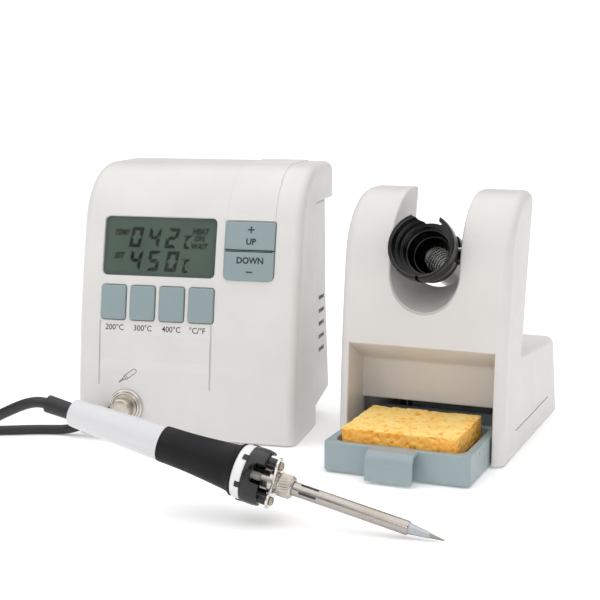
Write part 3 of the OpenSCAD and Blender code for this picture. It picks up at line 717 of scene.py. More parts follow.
CASE = Bow(588, 20, 42, 157)
CASE_W = 133.5
WALL = 2.8
HOOD_D = 94
SEAM_Y = 50.7           # between the front shell and the rear cover
HOOD_Z = 135.5          # underside of the hood
LCD = (-18.2, 111.1, 68.8, 34.8)                    # x, height, width, height of the window
PRESET_X = (-44.5, -26.6, -8.7, 9.2)
PRESET_Z = 78.5
KEY_W, KEY_H = 15.1, 20.2
SET_X, SET_W = 36.7, 29.6
UP_Z, UP_H = 118.75, 16.2
DOWN_Z, DOWN_H = 101.95, 17.2
KEY_GAP = 0.5           # both sides of a key together
KEY_BACK, KEY_FRONT = 4.1, -1.2
SOCKET = (-35.3, 17.8)
SOCKET_R = 8.1
REAR_TILT = 8.2
GROOVE_X, GROOVE_Z = (-52.4, 15.8), 49


def face_frame(x, z):
    """Local frame on the front: X right, Y into the body, Z up along the face."""
    y = CASE.at(0, CASE.along(z)).y
    tilt = math.degrees(math.asin((z + CASE.drop) / CASE.big))
    return STATION @ Matrix.Translation((x, y, z)) @ turned("X", -tilt)


def rear_frame(x, z):
    return STATION @ Matrix.Translation((x, 88.9 - (z - 31) * 5.9 / 41, z)) @ turned("X", REAR_TILT)


def make_front_shell():
    def section(depth):
        back = HOOD_D - depth / 6
        return CASE.outline(-6, depth) + [(back, CASE.top - depth), (back, -6)]

    def band(depth):
        face = CASE.outline(CASE.arc_end, depth - 0.6, 1)
        return face + [(HOOD_D - 0.05, 157.6 - depth), (HOOD_D - 0.05, face[0][1])]

    hollow = CASE.outline(-8, WALL, 20, 8) + [(HOOD_D - 3, CASE.top - WALL), (HOOD_D - 3, -8)]
    body = slab(section, CASE_W, 6, steps=7)
    body = carve(body, [slab(band, SET_W - 1, 0.5, SET_X, steps=3)], "UNION")
    through = 9         # depth of a cutter that goes through the wall
    cuts = [block((-80, -20, -20), (80, 120, 1)),
            block((-80, SEAM_Y, -20), (80, 120, HOOD_Z)),
            slab(hollow, CASE_W - 6)]
    cuts.append(pocket(spaced(fillet(rectangle(0, 0, LCD[2], LCD[3]), 3), 6),
                       CASE.near(LCD[0], LCD[1]), through, 0.9))
    key_path = spaced(fillet(rectangle(0, 0, KEY_W + KEY_GAP, KEY_H + KEY_GAP), 1.85), 6)
    cuts += [pocket(key_path, CASE.near(x, PRESET_Z), through, 0.5, 3) for x in PRESET_X]
    low, high = DOWN_Z - UP_Z - (DOWN_H + KEY_GAP) / 2, (UP_H + KEY_GAP) / 2
    set_outline = rectangle(0, (low + high) / 2, SET_W + KEY_GAP, high - low)
    set_path = spaced(fillet(set_outline, [3.2, 3.2, 0.8, 0.8]), 6)
    cuts.append(pocket(set_path, CASE.near(SET_X, UP_Z), through, 0.45, 3))
    groove = spaced(fillet(rectangle(0, 0, 1.0, 38), 0.45, 3), 8)
    cuts += [pocket(groove, CASE.near(x, GROOVE_Z), 0.7, 0.3, 3) for x in GROOVE_X]
    cuts.append(pocket(circle(SOCKET_R), CASE.near(*SOCKET), through, 0.3, 3))
    publish("front_shell_skin", carve(body, cuts), STATION, "case", "station",
            ["front_shell"], 32)


def make_rear_cover():
    outer = fillet([(SEAM_Y, 8.6), (91.5, 15), (88.9, 31), (83, 72), (80, HOOD_Z), (SEAM_Y, HOOD_Z)],
                   [0, 2.5, 3, 0, 0, 0])
    inner = [(SEAM_Y - 3, 11.4), (88.5, 17.6), (86, 31), (80.1, 72), (77.2, 133), (SEAM_Y - 3, 133)]

    def section(depth):
        """The outline moved inwards, except its front edge."""
        return [(SEAM_Y if abs(y - SEAM_Y) < 0.01 else new[0], new[1])
                for (y, _), new in zip(outer, inset(outer, depth))]

    body = slab(section, CASE_W - 2.4, 2.2)
    slots = [block((7 * i - 1.3, 70, 89), (7 * i + 1.3, 105, 119)) for i in range(-5, 6)]
    slots += [block((side * CASE_W / 2 - 6, 63, 42.7 + 8 * i), (side * CASE_W / 2 + 6, 77, 45.3 + 8 * i))
              for side in (-1, 1) for i in range(5)]
    to_rear = STATION.inverted() @ rear_frame(0, 48)
    holes = [block((-43.7, -8, -6.6), (-24.3, 8, 6.6)), rod(6.15, -8, 8, "Y", (10, 0, 0)),
             rod(6.15, -8, 8, "Y", (40, 0, 0))]
    for hole in holes:
        hole.transform(to_rear)
    body = carve(body, [slab(inner, CASE_W - 8.4), joined(slots), joined(holes)])
    publish("rear_cover_skin", body, STATION, "case", "station", ["rear_cover"], 32)


def make_keys():
    rows = [("key_preset_%d" % (i + 1), x, PRESET_Z, KEY_W, KEY_H, 1.6, 0.9) for i, x in enumerate(PRESET_X)]
    rows += [("key_up", SET_X, UP_Z, SET_W, UP_H, [0.3, 0.3, 0.6, 0.6], 0.8),
             ("key_down", SET_X, DOWN_Z, SET_W, DOWN_H, [3, 3, 0.3, 0.3], 0.8)]
    for name, x, z, width, height, radii, edge in rows:
        path = spaced(fillet(rectangle(0, 0, width, height), radii), 5)
        cap = raised(path, CASE.near(x, z), KEY_BACK, KEY_FRONT, edge)
        publish(name + "_cap", cap, STATION, "key", name, [name])


# ---- printing and display ----
def bar(x0, z0, x1, z1, thick):
    """A straight stroke with pointed ends, as (x, z) points."""
    a, b = Vector((x0, z0)), Vector((x1, z1))
    u = (b - a).normalized() * thick / 2
    v = Vector((-u.y, u.x))
    return [tuple(p) for p in (a, a + u - v, b - u - v, b, b - u + v, a + u + v)]


SEGMENTS = {"0": "abcdef", "2": "abged", "4": "fgbc", "5": "afgcd", "C": "afed"}
DIGIT = (7.2, 2.1)                  # width and stroke of a large digit
UNIT = (4.1, 7.9, 1.45)             # width, height and stroke of the unit
# signs, x and height of the first one, pitch, height, place of the unit from the first one
DIGIT_ROWS = (("042", -19.7, -0.6, 11.05, 11.9, 33.8, -0.1), ("450", -19.5, -14.3, 11.2, 12.0, 33.4, -0.3))
STATUS = (("TEMP", -24.2, 7.8), ("SET", -25.1, -5.9), ("HEAT", 24.3, 9.5), ("ON", 23.7, 5.4),
          ("WAIT", 23.8, 0.8))
INK_BACK, INK_FRONT = 2.3, 2.0      # the strokes' depths behind the front


def digit(sign, w, h, t, slant=0.18):
    """Seven-segment strokes of a sign, mitred at its corners, lower left corner at the origin."""
    m, gap = h / 2, 0.12
    top = [(gap, h), (w - gap, h), (w - t - gap, h - t), (t + gap, h - t)]
    left = [(0, h - gap), (t, h - t - gap), (t, m + t / 2 + gap), (0, m + gap)]
    middle = [(t / 2, m), (t, m + t / 2), (w - t, m + t / 2),
              (w - t / 2, m), (w - t, m - t / 2), (t, m - t / 2)]
    low = [(x, h - z) for x, z in top]
    low_left = [(x, h - z) for x, z in left]
    right, low_right = ([(w - x, z) for x, z in side] for side in (left, low_left))
    strokes = dict(zip("abcdefg", (top, right, low_right, low, low_left, left, middle)))
    return [[(x + slant * z, z) for x, z in strokes[k]] for k in SEGMENTS[sign]]


def ring_outline(x, z, radius, thick, sides):
    """A small ring as separate arcs, for a degree sign."""
    pieces = []
    for k in range(sides):
        a0, a1 = (2 * math.pi * (k + j) / sides for j in (0, 1.02))
        corners = ((radius, a0), (radius, a1), (radius - thick, a1), (radius - thick, a0))
        pieces.append([(x + r * math.cos(a), z + r * math.sin(a)) for r, a in corners])
    return pieces


def prism(outline, surface, back, front):
    return skin([[surface(x, h, d) for x, h in outline] for d in (back, front)])


def lettering(words, size, x, h, surface, back, front, slant=0.0, squeeze=1.0, bold=0.0):
    """Plain words laid on a surface, centred on (x, h)."""
    curve = bpy.data.curves.new("words", "FONT")
    curve.body = words
    curve.size = size
    curve.align_x = "CENTER"
    curve.align_y = "CENTER"
    curve.extrude = 0.5
    curve.offset = bold
    curve.resolution_u = 3
    temporary = bpy.data.objects.new("words", curve)
    bpy.context.scene.collection.objects.link(temporary)
    graph = bpy.context.evaluated_depsgraph_get()
    mesh = bpy.data.meshes.new_from_object(temporary.evaluated_get(graph))
    bpy.data.objects.remove(temporary)
    for v in mesh.vertices:
        depth = front if v.co.z > 0 else back
        v.co = surface(x + v.co.x * squeeze + slant * v.co.y, h + v.co.y, depth)
    return mesh


def make_display():
    face = CASE.near(LCD[0], LCD[1])
    publish("display_face", panel(LCD[2] - 1.2, LCD[3] - 1.2, face, 3.2, 2.2), STATION, "lcd",
            "station", ["lcd_module"])
    outer = spaced(fillet(rectangle(0, 0, LCD[2] + 0.6, LCD[3] + 0.6), 3), 4)
    inner = inset(outer, 1.5)
    levels = ((outer, 2.6), (outer, 1.5), (inner, 1.9), (inner, 2.6))
    rings = [[face(x, h, d) for x, h in path] for path, d in levels]
    publish("display_bezel", skin(rings, closed=True), STATION, "lcd_edge", "station")
    publish("display_window", panel(LCD[2] + 0.2, LCD[3] + 0.2, face, 1.3, 0.9), STATION, "window",
            "station", ["lcd_window"])
    strokes = []
    for signs, x, h, pitch, height, unit_x, unit_h in DIGIT_ROWS:
        width, thick = DIGIT
        placed = [(digit(sign, width, height, thick), x + pitch * i, h) for i, sign in enumerate(signs)]
        placed.append((digit("C", *UNIT), x + unit_x, h + unit_h))
        strokes += [[(px + dx, pz + dz) for px, pz in s] for sign, dx, dz in placed for s in sign]
        strokes += ring_outline(x + unit_x + 0.3, h + 7.6, 0.6, 0.35, 10)
    meshes = [prism(s, face, INK_BACK, INK_FRONT) for s in strokes]
    meshes += [lettering(words, 4.7, x, h, face, INK_BACK, INK_FRONT, 0.2, 0.82, 0.17)
               for words, x, h in STATUS]
    publish("display_segments", joined(meshes), STATION, "segment", "station", weighted=False)


LABEL_Z = 63.9
PICTOGRAM = (-34.8, 35.8)


def make_printing():
    ink = []
    for x, words, shift in zip(PRESET_X, ("200°C", "300°C", "400°C", "°C/°F"), (1.0, 0.6, 0.3, -1.8)):
        ink.append(lettering(words, 4.7, 0, 0, CASE.near(x + shift, LABEL_Z), 0.05, -0.06, squeeze=0.94,
                             bold=0.04))
    ink += pictogram(CASE.near(*PICTOGRAM))
    publish("case_print", joined(ink), STATION, "ink", "station", weighted=False)
    rows = (("key_up", UP_Z, "UP", -3.6, 3.4), ("key_down", DOWN_Z, "DOWN", 2.8, -3.6))
    for key, z, word, low, sign in rows:
        surface = CASE.near(SET_X, z)
        back, front = KEY_FRONT + 0.05, KEY_FRONT - 0.07
        words = [lettering(word, 5.0, 0.8, low, surface, back, front, squeeze=0.96, bold=0.16),
                 prism(rectangle(0.6, sign, 3.9, 0.8), surface, back, front)]
        if key == "key_up":
            words.append(prism(rectangle(0.6, sign, 0.8, 3.9), surface, back, front - 0.01))
        publish(key + "_print", joined(words), STATION, "ink", key, weighted=False)


def pictogram(surface):
    """Outline of a small soldering iron, pointing down and to the left."""
    turn = math.radians(36)
    side = [(-3.4, 0.5), (-1.8, 1.0), (-1.2, 1.6), (-0.6, 1.3), (5.4, 1.3), (6.4, 0.7)]
    shape = [(-6.6, 0)] + side + [(x, -z) for x, z in reversed(side)]
    lines = list(zip(shape, shape[1:] + shape[:1]))
    lines += [((x, z), (x, -z)) for x, z in (side[1], side[3], side[0])]
    meshes = []
    for (x0, z0), (x1, z1) in lines:
        stroke = bar(x0, z0, x1, z1, 0.34)
        turned_stroke = [(x * math.cos(turn) - z * math.sin(turn), x * math.sin(turn) + z * math.cos(turn))
                         for x, z in stroke]
        meshes.append(prism(turned_stroke, surface, 0.05, -0.05))
    return meshes


# ---- socket and plug ----
def make_socket():
    place = face_frame(*SOCKET) @ turned("X", 90)       # local Z comes out of the face
    ring = rounded_profile([(7.95, -0.6), (10.5, -0.6), (10.5, 1.3), (10.0, 2.3), (9.3, 2.3), (8.9, 1.8),
                            (8.6, 3.2), (7.95, 3.2)], 0.35)
    publish("socket_ring", lathe(ring, closed=True), place, "chrome", "station",
            ["socket_nut"], 40)
    core = rounded_profile([(0.01, 0.4), (7.7, 0.4), (7.7, 3.6), (7.2, 4.0), (6.2, 4.0), (6.2, 10.2),
                            (5.4, 11.0), (3.0, 11.2), (0.01, 11.2)], 0.7, 4)
    slot = block((-5.2, -0.65, 10.5), (5.2, 0.65, 13))
    slot.transform(turned("Z", 38) @ Matrix.Translation((-3.4, 0, 0)))
    cap = carve(lathe(core), [slot])
    publish("plug_cap", cap, place, "nickel", "station", ["plug_body"], 40)


PLUG_DROP = 24          # how far the lead slopes down from level


def make_plug_boot():
    """Strain relief with five ribs, each a little thinner than the last."""
    out_of_face = face_frame(*SOCKET) @ Matrix.Translation((0, -7, 0))
    place = out_of_face @ turned("Y", -90 - PLUG_DROP) @ Matrix.Translation((0, 0, 4.4))
    points = [(0.01, 0), (3.4, 0), (3.4, 2.2), (3.85, 2.4)]
    for i in range(5):
        rib = ((3.75, 5.5), (3.9, 6), (3.9, 7.5), (3.5, 7.8))
        points += [(r - 0.1 * i, z + 3.2 * i) for r, z in rib]
    points += [(3.3, 22.2), (2.9, 22.6), (0.01, 22.6)]
    return publish("plug_relief", lathe(rounded_profile(points, 0.3), 48), place, "cord", "station",
                   ["plug_boot"], 40)


# ---- iron: local Z runs from the point of the tip to the tail ----
SLOT_TURN = 56          # first slot of the barrel
TAB_TURN = 22           # first tab of the guard
LOBE_TURN = -15         # first lobe of the flange, with its screw
WINDOW_TURN = 57        # first window of the guard
LOBE_R = 9.8            # from the middle to each screw of the flange


def iron_piece(name, mesh, material, body, replaced=(), smooth=40):
    publish(name, mesh, IRON, material, body, replaced, smooth)


def at_lobe(k, radius=LOBE_R):
    """A point on the line from the middle to lobe k of the flange."""
    a = math.radians(LOBE_TURN + 120 * k)
    return Vector((radius * math.cos(a), radius * math.sin(a), 0))


def make_tip():
    point = lathe(smooth_profile([(0.28, 0.0), (0.42, 0.5), (0.75, 3.5), (1.16, 6.6)], 5)
                  + [(1.3, 6.9), (1.3, 7.4)], 48)
    for v in point.vertices:
        v.co.y *= 1 - 0.45 * max(0.0, 1 - v.co.z / 4)
    iron_piece("tip_point", point, "tip_end", "barrel", ["soldering_tip"])
    shank = rounded_profile([(1.2, 6.7), (1.4, 7.0), (2.65, 16.6), (2.75, 17.2), (2.75, 20)], 0.4)
    shank = lathe([(0.01, 6.7)] + shank + [(0.01, 20)], 64)
    iron_piece("tip_shank", shank, "tip_shank", "barrel")


def make_barrel():
    profile = [(2.82, 20), (2.82, 17.7), (2.9, 17.35), (3.08, 17.2), (3.25, 17.3), (3.37, 17.6), (3.4, 18.1),
               (3.4, 75.6), (3.6, 75.9), (4.4, 76.0), (4.6, 76.2), (4.6, 77.1), (3.05, 77.2), (3.05, 20)]
    slot = fillet([(62.3, -0.6), (71.3, -0.6), (71.3, 0.6), (62.3, 0.6)], 0.55, 4)
    sleeve = carve(lathe(profile, closed=True), [spoke(slot, 1.5, 5, SLOT_TURN + 72 * k) for k in range(5)])
    iron_piece("barrel_sleeve", sleeve, "steel", "barrel", ["barrel_tube"], 30)
    core = lathe([(0.01, 60), (2.95, 60), (2.95, 76), (0.01, 76)], 32)
    iron_piece("barrel_insulator", core, "parts", "barrel")


def triangle_wave(t):
    return abs((t % 1.0) * 2 - 1)


def make_nut():
    """Knurled ring nut, its grooves a little slanted."""
    sides, teeth, groove, slant = 288, 24, 0.75, 0.13
    low, high, steps = 76.1, 81.4, 24
    front = [(4.95, 81.9), (4.95, 76.1), (3.6, 76.0), (3.6, 75.0), (4.0, 74.8), (4.7, 74.85), (5.1, 75.2),
             (5.2, 75.9)]
    knurled = [(5.7, low + (high - low) * i / steps) for i in range(steps + 1)]
    back = [(5.6, 81.7), (5.2, 82.1), (5.0, 82.2)]

    def ring(r, z, depth):
        deep = [max(0.0, triangle_wave(teeth * k / sides + z * slant) - 0.3) for k in range(sides)]
        return [((r - depth * d) * c, (r - depth * d) * s, z) for d, (c, s) in zip(deep, circle(1, sides))]

    rings = [ring(r, z, depth) for rows, depth in ((front, 0), (knurled, groove), (back, 0)) for r, z in rows]
    iron_piece("knurled_nut", skin(rings, closed=True), "nut", "barrel_nut", ["barrel_nut"], 60)


def make_flange():
    """Bright plate with three round lobes, a middle hole and a hole for each screw."""
    outline = []
    for k in range(3):
        round_lobe = [at_lobe(k, 9.4) + at_lobe(k + t / 120, 4.2) for t in range(-100, 101, 20)]
        outline += [tuple(p.xy) for p in round_lobe + [at_lobe(k + 0.5, 7.4)]]
    levels = [(0.25, 82.8), (0.07, 82.9), (0, 83.05), (0, 83.85), (0.07, 84.0), (0.25, 84.1)]
    holes = [rod(4.9, 78, 95)] + [rod(1.3, 78, 95, centre=at_lobe(k), sides=32) for k in range(3)]
    plate = carve(stack(outline, levels), [joined(holes)])
    iron_piece("flange", plate, "plate", "iron", ["flange_plate"])


def make_flange_screws():
    """Cross-head screws, each stopped at a turn of its own."""
    profile = rounded_profile([(0.01, 81.2), (1.5, 81.2), (2.1, 81.8), (2.1, 82.8), (1.2, 82.8), (1.2, 95.8),
                               (0.01, 95.8)], 0.35)
    meshes = []
    for k in range(3):
        cross = [block((-1.3, -0.25, 80), (1.3, 0.25, 81.8)), block((-0.25, -1.3, 80), (0.25, 1.3, 81.8))]
        screw = carve(lathe(profile, 32), cross)
        screw.transform(Matrix.Translation(at_lobe(k)) @ turned("Z", 25 + 50 * k))
        meshes.append(screw)
    iron_piece("flange_screw_set", joined(meshes), "screw", "iron", ["flange_screws"])


def make_guard():
    """Heat guard: three bulged arms with wide rounded openings between them, on a back disc."""
    outside = smooth_profile([(12.7, 88.4), (13.3, 89.2), (13.65, 91.5), (13.7, 94), (13.6, 96.5),
                              (13.4, 97.5)], 5)
    inside = smooth_profile([(5.2, 97.5), (5.2, 97.5), (5.2, 95.6), (5.2, 95.6), (11.2, 95.6), (11.8, 95.0),
                             (11.85, 92), (11.6, 89.6), (11.9, 88.7), (12.3, 88.35)], 3)
    window = fillet([(80, -5.2), (95.4, -4.6), (95.4, 4.6), (80, 5.2)], [0, 3.4, 3.4, 0], 6)
    windows = [spoke(window, 8, 20, WINDOW_TURN + 120 * k) for k in range(3)]
    meshes = [carve(lathe(outside + inside, 120, closed=True), windows)]
    post = rounded_profile([(1.25, 84.15), (2.6, 84.15), (2.7, 84.6), (2.7, 95.7), (1.25, 95.7)], 0.3)
    meshes += [lathe(post, 32, Matrix.Translation(at_lobe(k)), closed=True) for k in range(3)]
    outline = fillet([(11.9, -1.4), (13.75, -1.4), (13.75, 1.4), (11.9, 1.4)], 0.3, 3)
    for k in range(6):
        tab = stack(outline, ((0, 97), (0, 99.7), (0.25, 100)))
        tab.transform(turned("Z", TAB_TURN + 60 * k))
        meshes.append(tab)
    iron_piece("heat_guard", joined(meshes), "black", "iron", ["guard_ring"])


def make_collar():
    profile = rounded_profile([(7.1, 97.55), (13.2, 97.55), (13.35, 98.4), (13.1, 100.6), (12.7, 102.2),
                               (12.2, 102.9), (7.1, 102.9)], 0.5)
    slot = fillet([(90, -1.5), (100.1, -1.5), (100.1, 1.5), (90, 1.5)], [0, 0.5, 0.5, 0], 3)
    collar = carve(lathe(profile, 120, closed=True),
                   [spoke(slot, 11.8, 20, TAB_TURN + 60 * k) for k in range(6)])
    iron_piece("collar", collar, "collar", "iron", ["handle_collar"])


def make_grip():
    """Soft sleeve, flared in front."""
    outer = smooth_profile([(12.8, 103.05), (12.9, 103.4), (12.6, 104.0), (11.8, 105.2), (11.3, 107.2),
                            (11.0, 110), (10.4, 116), (9.7, 124), (9.2, 132), (8.95, 140), (8.85, 143.2),
                            (8.6, 143.9)], 6)
    profile = [(7.1, 103.05)] + outer + [(7.1, 144)]
    iron_piece("grip", lathe(profile, 128, closed=True), "grip", "iron", ["grip_sleeve"])


def make_handle():
    outer = smooth_profile([(8.62, 143.9), (8.66, 145), (8.5, 152), (7.8, 171), (7.15, 189), (6.9, 192.8),
                            (6.6, 193.9), (6.0, 194.35), (5.2, 194.4)], 5)
    inner = [(4.4, 194.2), (4.2, 193.4), (3.7, 193.2), (3.7, 176), (5.4, 176), (5.4, 98.2)]
    tube_mesh = lathe([(7.0, 98.2), (7.0, 143.9)] + outer + inner, 128, closed=True)
    iron_piece("handle_tube", tube_mesh, "handle", "iron", ["rear_handle"], 35)


def make_boot():
    outer = rounded_profile([(3.55, 180), (3.55, 193.6), (4.2, 194.4), (4.5, 208.6), (3.0, 208.6)], 0.5, 4)
    profile = outer + [(2.8, 207.8), (2.8, 180)]
    iron_piece("cord_relief", lathe(profile, 64, closed=True), "cord", "iron", ["cord_boot"])


# ---- holder ----
TOWERS = Bow(777, 0.01, 40, 146)
HOLDER_W = 95
CRADLE_R = 19.5
CHANNEL_W = 82.8
RECESS_Z, SLOPE_Z, SLOT_Z = 62.6, 50, 26.6
RECESS_Y = 26
PIVOT = (22, 111.2)
PIVOT_DEPTH = 24        # from the funnel's mouth to its pivot
RAMP_TILT = 20
RAMP_START, RAMP_END = (8, 103.3), 34
CHANNEL_Z = 101.9       # middle line of the level part of the channel
FUNNEL_TILT = 20


def holder_section(depth):
    """Bowed towers in front, a lower block behind them; the back edges are rounded less."""
    front = TOWERS.outline(-6, depth, 30, 16)
    back, low = depth / 6, depth * 0.6
    step = [(57 - back, 146 - depth), (38.9 - back, 56.2 - low)]
    corner = [(126.8 - low + 3.4 * math.sin(a), 46.35 - low + 3.4 * math.cos(a))
              for a in (math.radians(15 * k) for k in range(6))]
    return front + step + corner + [(143 - low, 1.4), (143 - low, -6)]


def ramp_axis(y):
    """Height of the middle line of the sloping part of the channel."""
    y0, z0 = RAMP_START
    return z0 + (y - y0) * math.tan(math.radians(RAMP_TILT))


def u_channel(radius, ends, tilt=0):
    """A cutter with a round bottom and upright sides, its middle line through (y, z) ends."""
    tall = radius / math.cos(math.radians(tilt))
    bottom = [(radius * math.cos(a), tall * math.sin(a))
              for a in (math.radians(180 + 180 * k / 48) for k in range(49))]
    rings = [[(x, y, z + dz) for x, dz in bottom + [(radius, 110), (-radius, 110)]] for y, z in ends]
    return skin(rings)


def cradle_rim(edge):
    """A cutter that rounds the rim where the U channel meets the front and the top."""
    radius = CRADLE_R - 0.04

    def level(rise):
        z = CHANNEL_Z + rise
        for _ in range(4):
            z = ramp_axis(TOWERS.at(0, TOWERS.along(z)).y) + rise / math.cos(math.radians(RAMP_TILT))
        return TOWERS.along(z)

    turns = [math.radians(180 + 180 * k / 48) for k in range(49)]
    rim = [(radius * math.cos(a), level(radius * math.sin(a))) for a in turns]
    low, high = rim[0][1], TOWERS.top_start + 34
    rim += [(radius, low + (high - low) * k / 40) for k in range(1, 41)]
    rim += [(-x, h) for x, h in reversed(rim[49:])]
    rows = [(24 + j, 24 - j) for j in range(25)] + [(49 + j, 128 - j) for j in range(40)]
    cap = [(24, 25, 23)] + [(a, c, d, b) for (a, b), (c, d) in zip(rows[1:], rows[2:])]
    return pocket(rim, TOWERS.at, edge, edge, 4, cap)


def make_holder_shell():
    body = slab(holder_section, HOLDER_W, 6, steps=7)
    cuts = [block((-60, -20, -20), (60, 160, 1)),
            u_channel(CRADLE_R, [(y, ramp_axis(y)) for y in (-22, RAMP_END)], RAMP_TILT),
            u_channel(CRADLE_R - 0.03, [(RAMP_END - 0.1, CHANNEL_Z), (90, CHANNEL_Z)])]
    recess = [(-8, -5), (-8, RECESS_Z), (3.2, RECESS_Z), (RECESS_Y, SLOPE_Z), (RECESS_Y, SLOT_Z),
              (28.8, SLOT_Z), (28.8, -5)]
    cuts.append(slab(fillet(recess, [0, 0, 1.2, 3, 0.8, 0, 0]), CHANNEL_W))
    inside = [(28.7, -5), (28.7, SLOT_Z), (92, SLOT_Z), (92, 42), (127, 42), (139.8, -5)]
    cuts.append(slab(inside, HOLDER_W - 5.2))
    opening = spaced(rectangle(0, RECESS_Z / 2 - 3, CHANNEL_W - 0.06, RECESS_Z + 5.9), 6)
    softened = [cradle_rim(1.3), pocket(opening, TOWERS.at, 0.8, 0.75, 3)]
    groove = [(31, 13.5), (116, 13.5), (116, 14.6), (31, 14.6)]
    softened += [slab(groove, 1.4, centre=side * HOLDER_W / 2) for side in (-1, 1)]
    body = carve(carve(body, cuts), softened)
    publish("holder_skin", body, HOLDER, "holder_case_shaded", "holder", ["holder_shell"], 32)


def funnel_frame():
    tilt = math.radians(FUNNEL_TILT)
    y, z = PIVOT[0] - PIVOT_DEPTH * math.cos(tilt), PIVOT[1] + PIVOT_DEPTH * math.sin(tilt)
    return HOLDER @ Matrix.Translation((0, y, z)) @ turned("X", -90 - FUNNEL_TILT)


def make_funnel():
    """Local Z runs from the mouth to the back, local Y down."""
    outside = rounded_profile([(16.3, 0.3), (17.0, 0), (18.2, 0), (18.6, 0.6), (18.6, 8), (17.6, 14),
                               (15.4, 20), (15.4, 26), (13, 32), (9.6, 36), (9.6, 40), (7.2, 40)], 0.8)
    inside = rounded_profile([(7.2, 40), (7.2, 34), (10.4, 25.1), (10.8, 25.1), (12.2, 17.1), (13.0, 17.1),
                              (13.0, 11.1), (14.6, 11.1), (14.6, 6), (16.2, 6), (16.2, 0.8), (16.3, 0.3)],
                             0.35, 2)
    body = lathe(outside + inside[1:-1], 120, closed=True)
    hub = carve(rod(4.6, -18.7, 18.7, "X", (0, 0, PIVOT_DEPTH), 48), [rod(12.0, 15, 32)])
    notch = [(-9.5, -19.5), (-6.5, -16.2), (0, -14.1), (4, -13.4), (8.6, -13.3), (9.2, -19.5)]
    cutters = [skin([[(x, y, z) for x, y in notch] for z in (-1, 17)]),
               block((-0.8, 15.4, -1), (0.8, 20.5, 11))]
    outline = fillet([(15.8, -2.4), (19.0, -2.4), (19.0, 2.4), (15.8, 2.4)], [0, 1.2, 1.2, 0], 4)
    lug = stack(outline, ((0.6, 12), (0, 12.6), (0, 19.4), (0.6, 20)))
    lug.transform(turned("Z", -22))
    body = carve(carve(body, [hub], "UNION"), cutters)
    sleeve = [(8.62, 36.4), (9.5, 36.4), (9.5, 40.6), (9.0, 41.2), (9.0, 70), (8.62, 70)]
    body = joined([body, lug, lathe(sleeve, 64, closed=True)])
    publish("funnel_skin", body, funnel_frame(), "gloss_black", "funnel", ["funnel"], 40)


def make_rest_spring():
    radius, wire, pitch, turns, steps = 7.9, 1.2, 4.4, 9, 40
    path = []
    for i in range(steps * turns + 1):
        t = i / steps
        a = 2 * math.pi * t
        path.append((radius * math.cos(a), radius * math.sin(a), 41.2 + pitch * t))
    publish("rest_spring_wire", tube(path, wire / 2, 12), funnel_frame(), "spring", "funnel",
            ["rest_spring"], 60)


# ---- tray and sponge ----
TRAY_W, TRAY_L, TRAY_H = 80.8, 90, 17.3
TRAY_OUT = 40
TRAY = HOLDER @ Matrix.Translation((0, -TRAY_OUT, 0))


def well(x_width, y0, y1, low, radius, rim):
    """A cutter for a rounded well, open at the top, with a rounded rim."""
    path = fillet(rectangle(0, (y0 + y1) / 2, x_width, y1 - y0), radius, 8)
    levels = [(2.2, low), (0.8, low + 0.4), (0, low + 2)]
    levels += [(-off, TRAY_H - depth) for off, depth in reversed(quarter(rim))]
    return stack(path, levels + [(-rim, TRAY_H + 3)])


def make_tray():
    outline = fillet(rectangle(0, TRAY_L / 2, TRAY_W, TRAY_L), 3, 7)
    levels = [(0.9, 1), (0.25, 1.25), (0, 1.9)]
    levels += [(off, TRAY_H - depth) for off, depth in reversed(quarter(1.0))]
    water = fillet(rectangle(0, 30.5, 58, 46), 6, 6)
    cuts = [well(TRAY_W - 9, 4, 61, 11.5, 7, 0.8), well(TRAY_W - 9, 63.4, TRAY_L - 4, 4, 4, 0.8),
            stack(water, ((1.2, 4), (0, 5.2), (0, 13)))]
    body = carve(stack(outline, levels), cuts)
    feet = [lathe([(0.01, 0), (1.7, 0), (2, 0.3), (2, 2), (0.01, 2)], 24, Matrix.Translation((s * 34, y, 0)))
            for s in (-1, 1) for y in (8, TRAY_L - 8)]
    publish("tray_body", joined([body] + feet), TRAY, "tray", "tray", ["sponge_tray"], 35)
    outer = [(-4 - 6 * math.sin(a), TRAY_H - 6.2 + 6 * math.cos(a))
             for a in (math.radians(90 * k / 10) for k in range(11))]
    inner = [(-4 - 3.8 * math.sin(a), TRAY_H - 6.2 + 3.8 * math.cos(a))
             for a in (math.radians(90 - 90 * k / 8) for k in range(9))]
    profile = [(1.2, TRAY_H - 0.2)] + outer + [(-10.9, 2.0), (-10.6, 1.5), (-9.2, 1.7), (-8.8, 2.2)] + inner \
        + [(1.2, TRAY_H - 2.4)]
    publish("tray_tab", slab(profile, 26, 0.75, -0.4), TRAY, "tray", "tray", (), 40)


SPONGE_LOW, SPONGE_HIGH = Vector((-32, -35.6, 11.6)), Vector((32, 16.6, 25))


def sponge_grid(cell):
    """A box of square cells with its points on the surface only."""
    size = SPONGE_HIGH - SPONGE_LOW
    counts = [max(1, round(s / cell)) for s in size]
    verts, index, faces = [], {}, []

    def point(key):
        if key not in index:
            index[key] = len(verts)
            verts.append([SPONGE_LOW[i] + size[i] * key[i] / counts[i] for i in range(3)])
        return index[key]

    for axis in range(3):
        u, v = (axis + 1) % 3, (axis + 2) % 3
        for side in (0, counts[axis]):
            for i in range(counts[u]):
                for j in range(counts[v]):
                    corners = []
                    for a, b in ((i, j), (i + 1, j), (i + 1, j + 1), (i, j + 1)):
                        key = [0, 0, 0]
                        key[axis], key[u], key[v] = side, a, b
                        corners.append(point(tuple(key)))
                    faces.append(corners if side else corners[::-1])
    return np.array(verts), faces


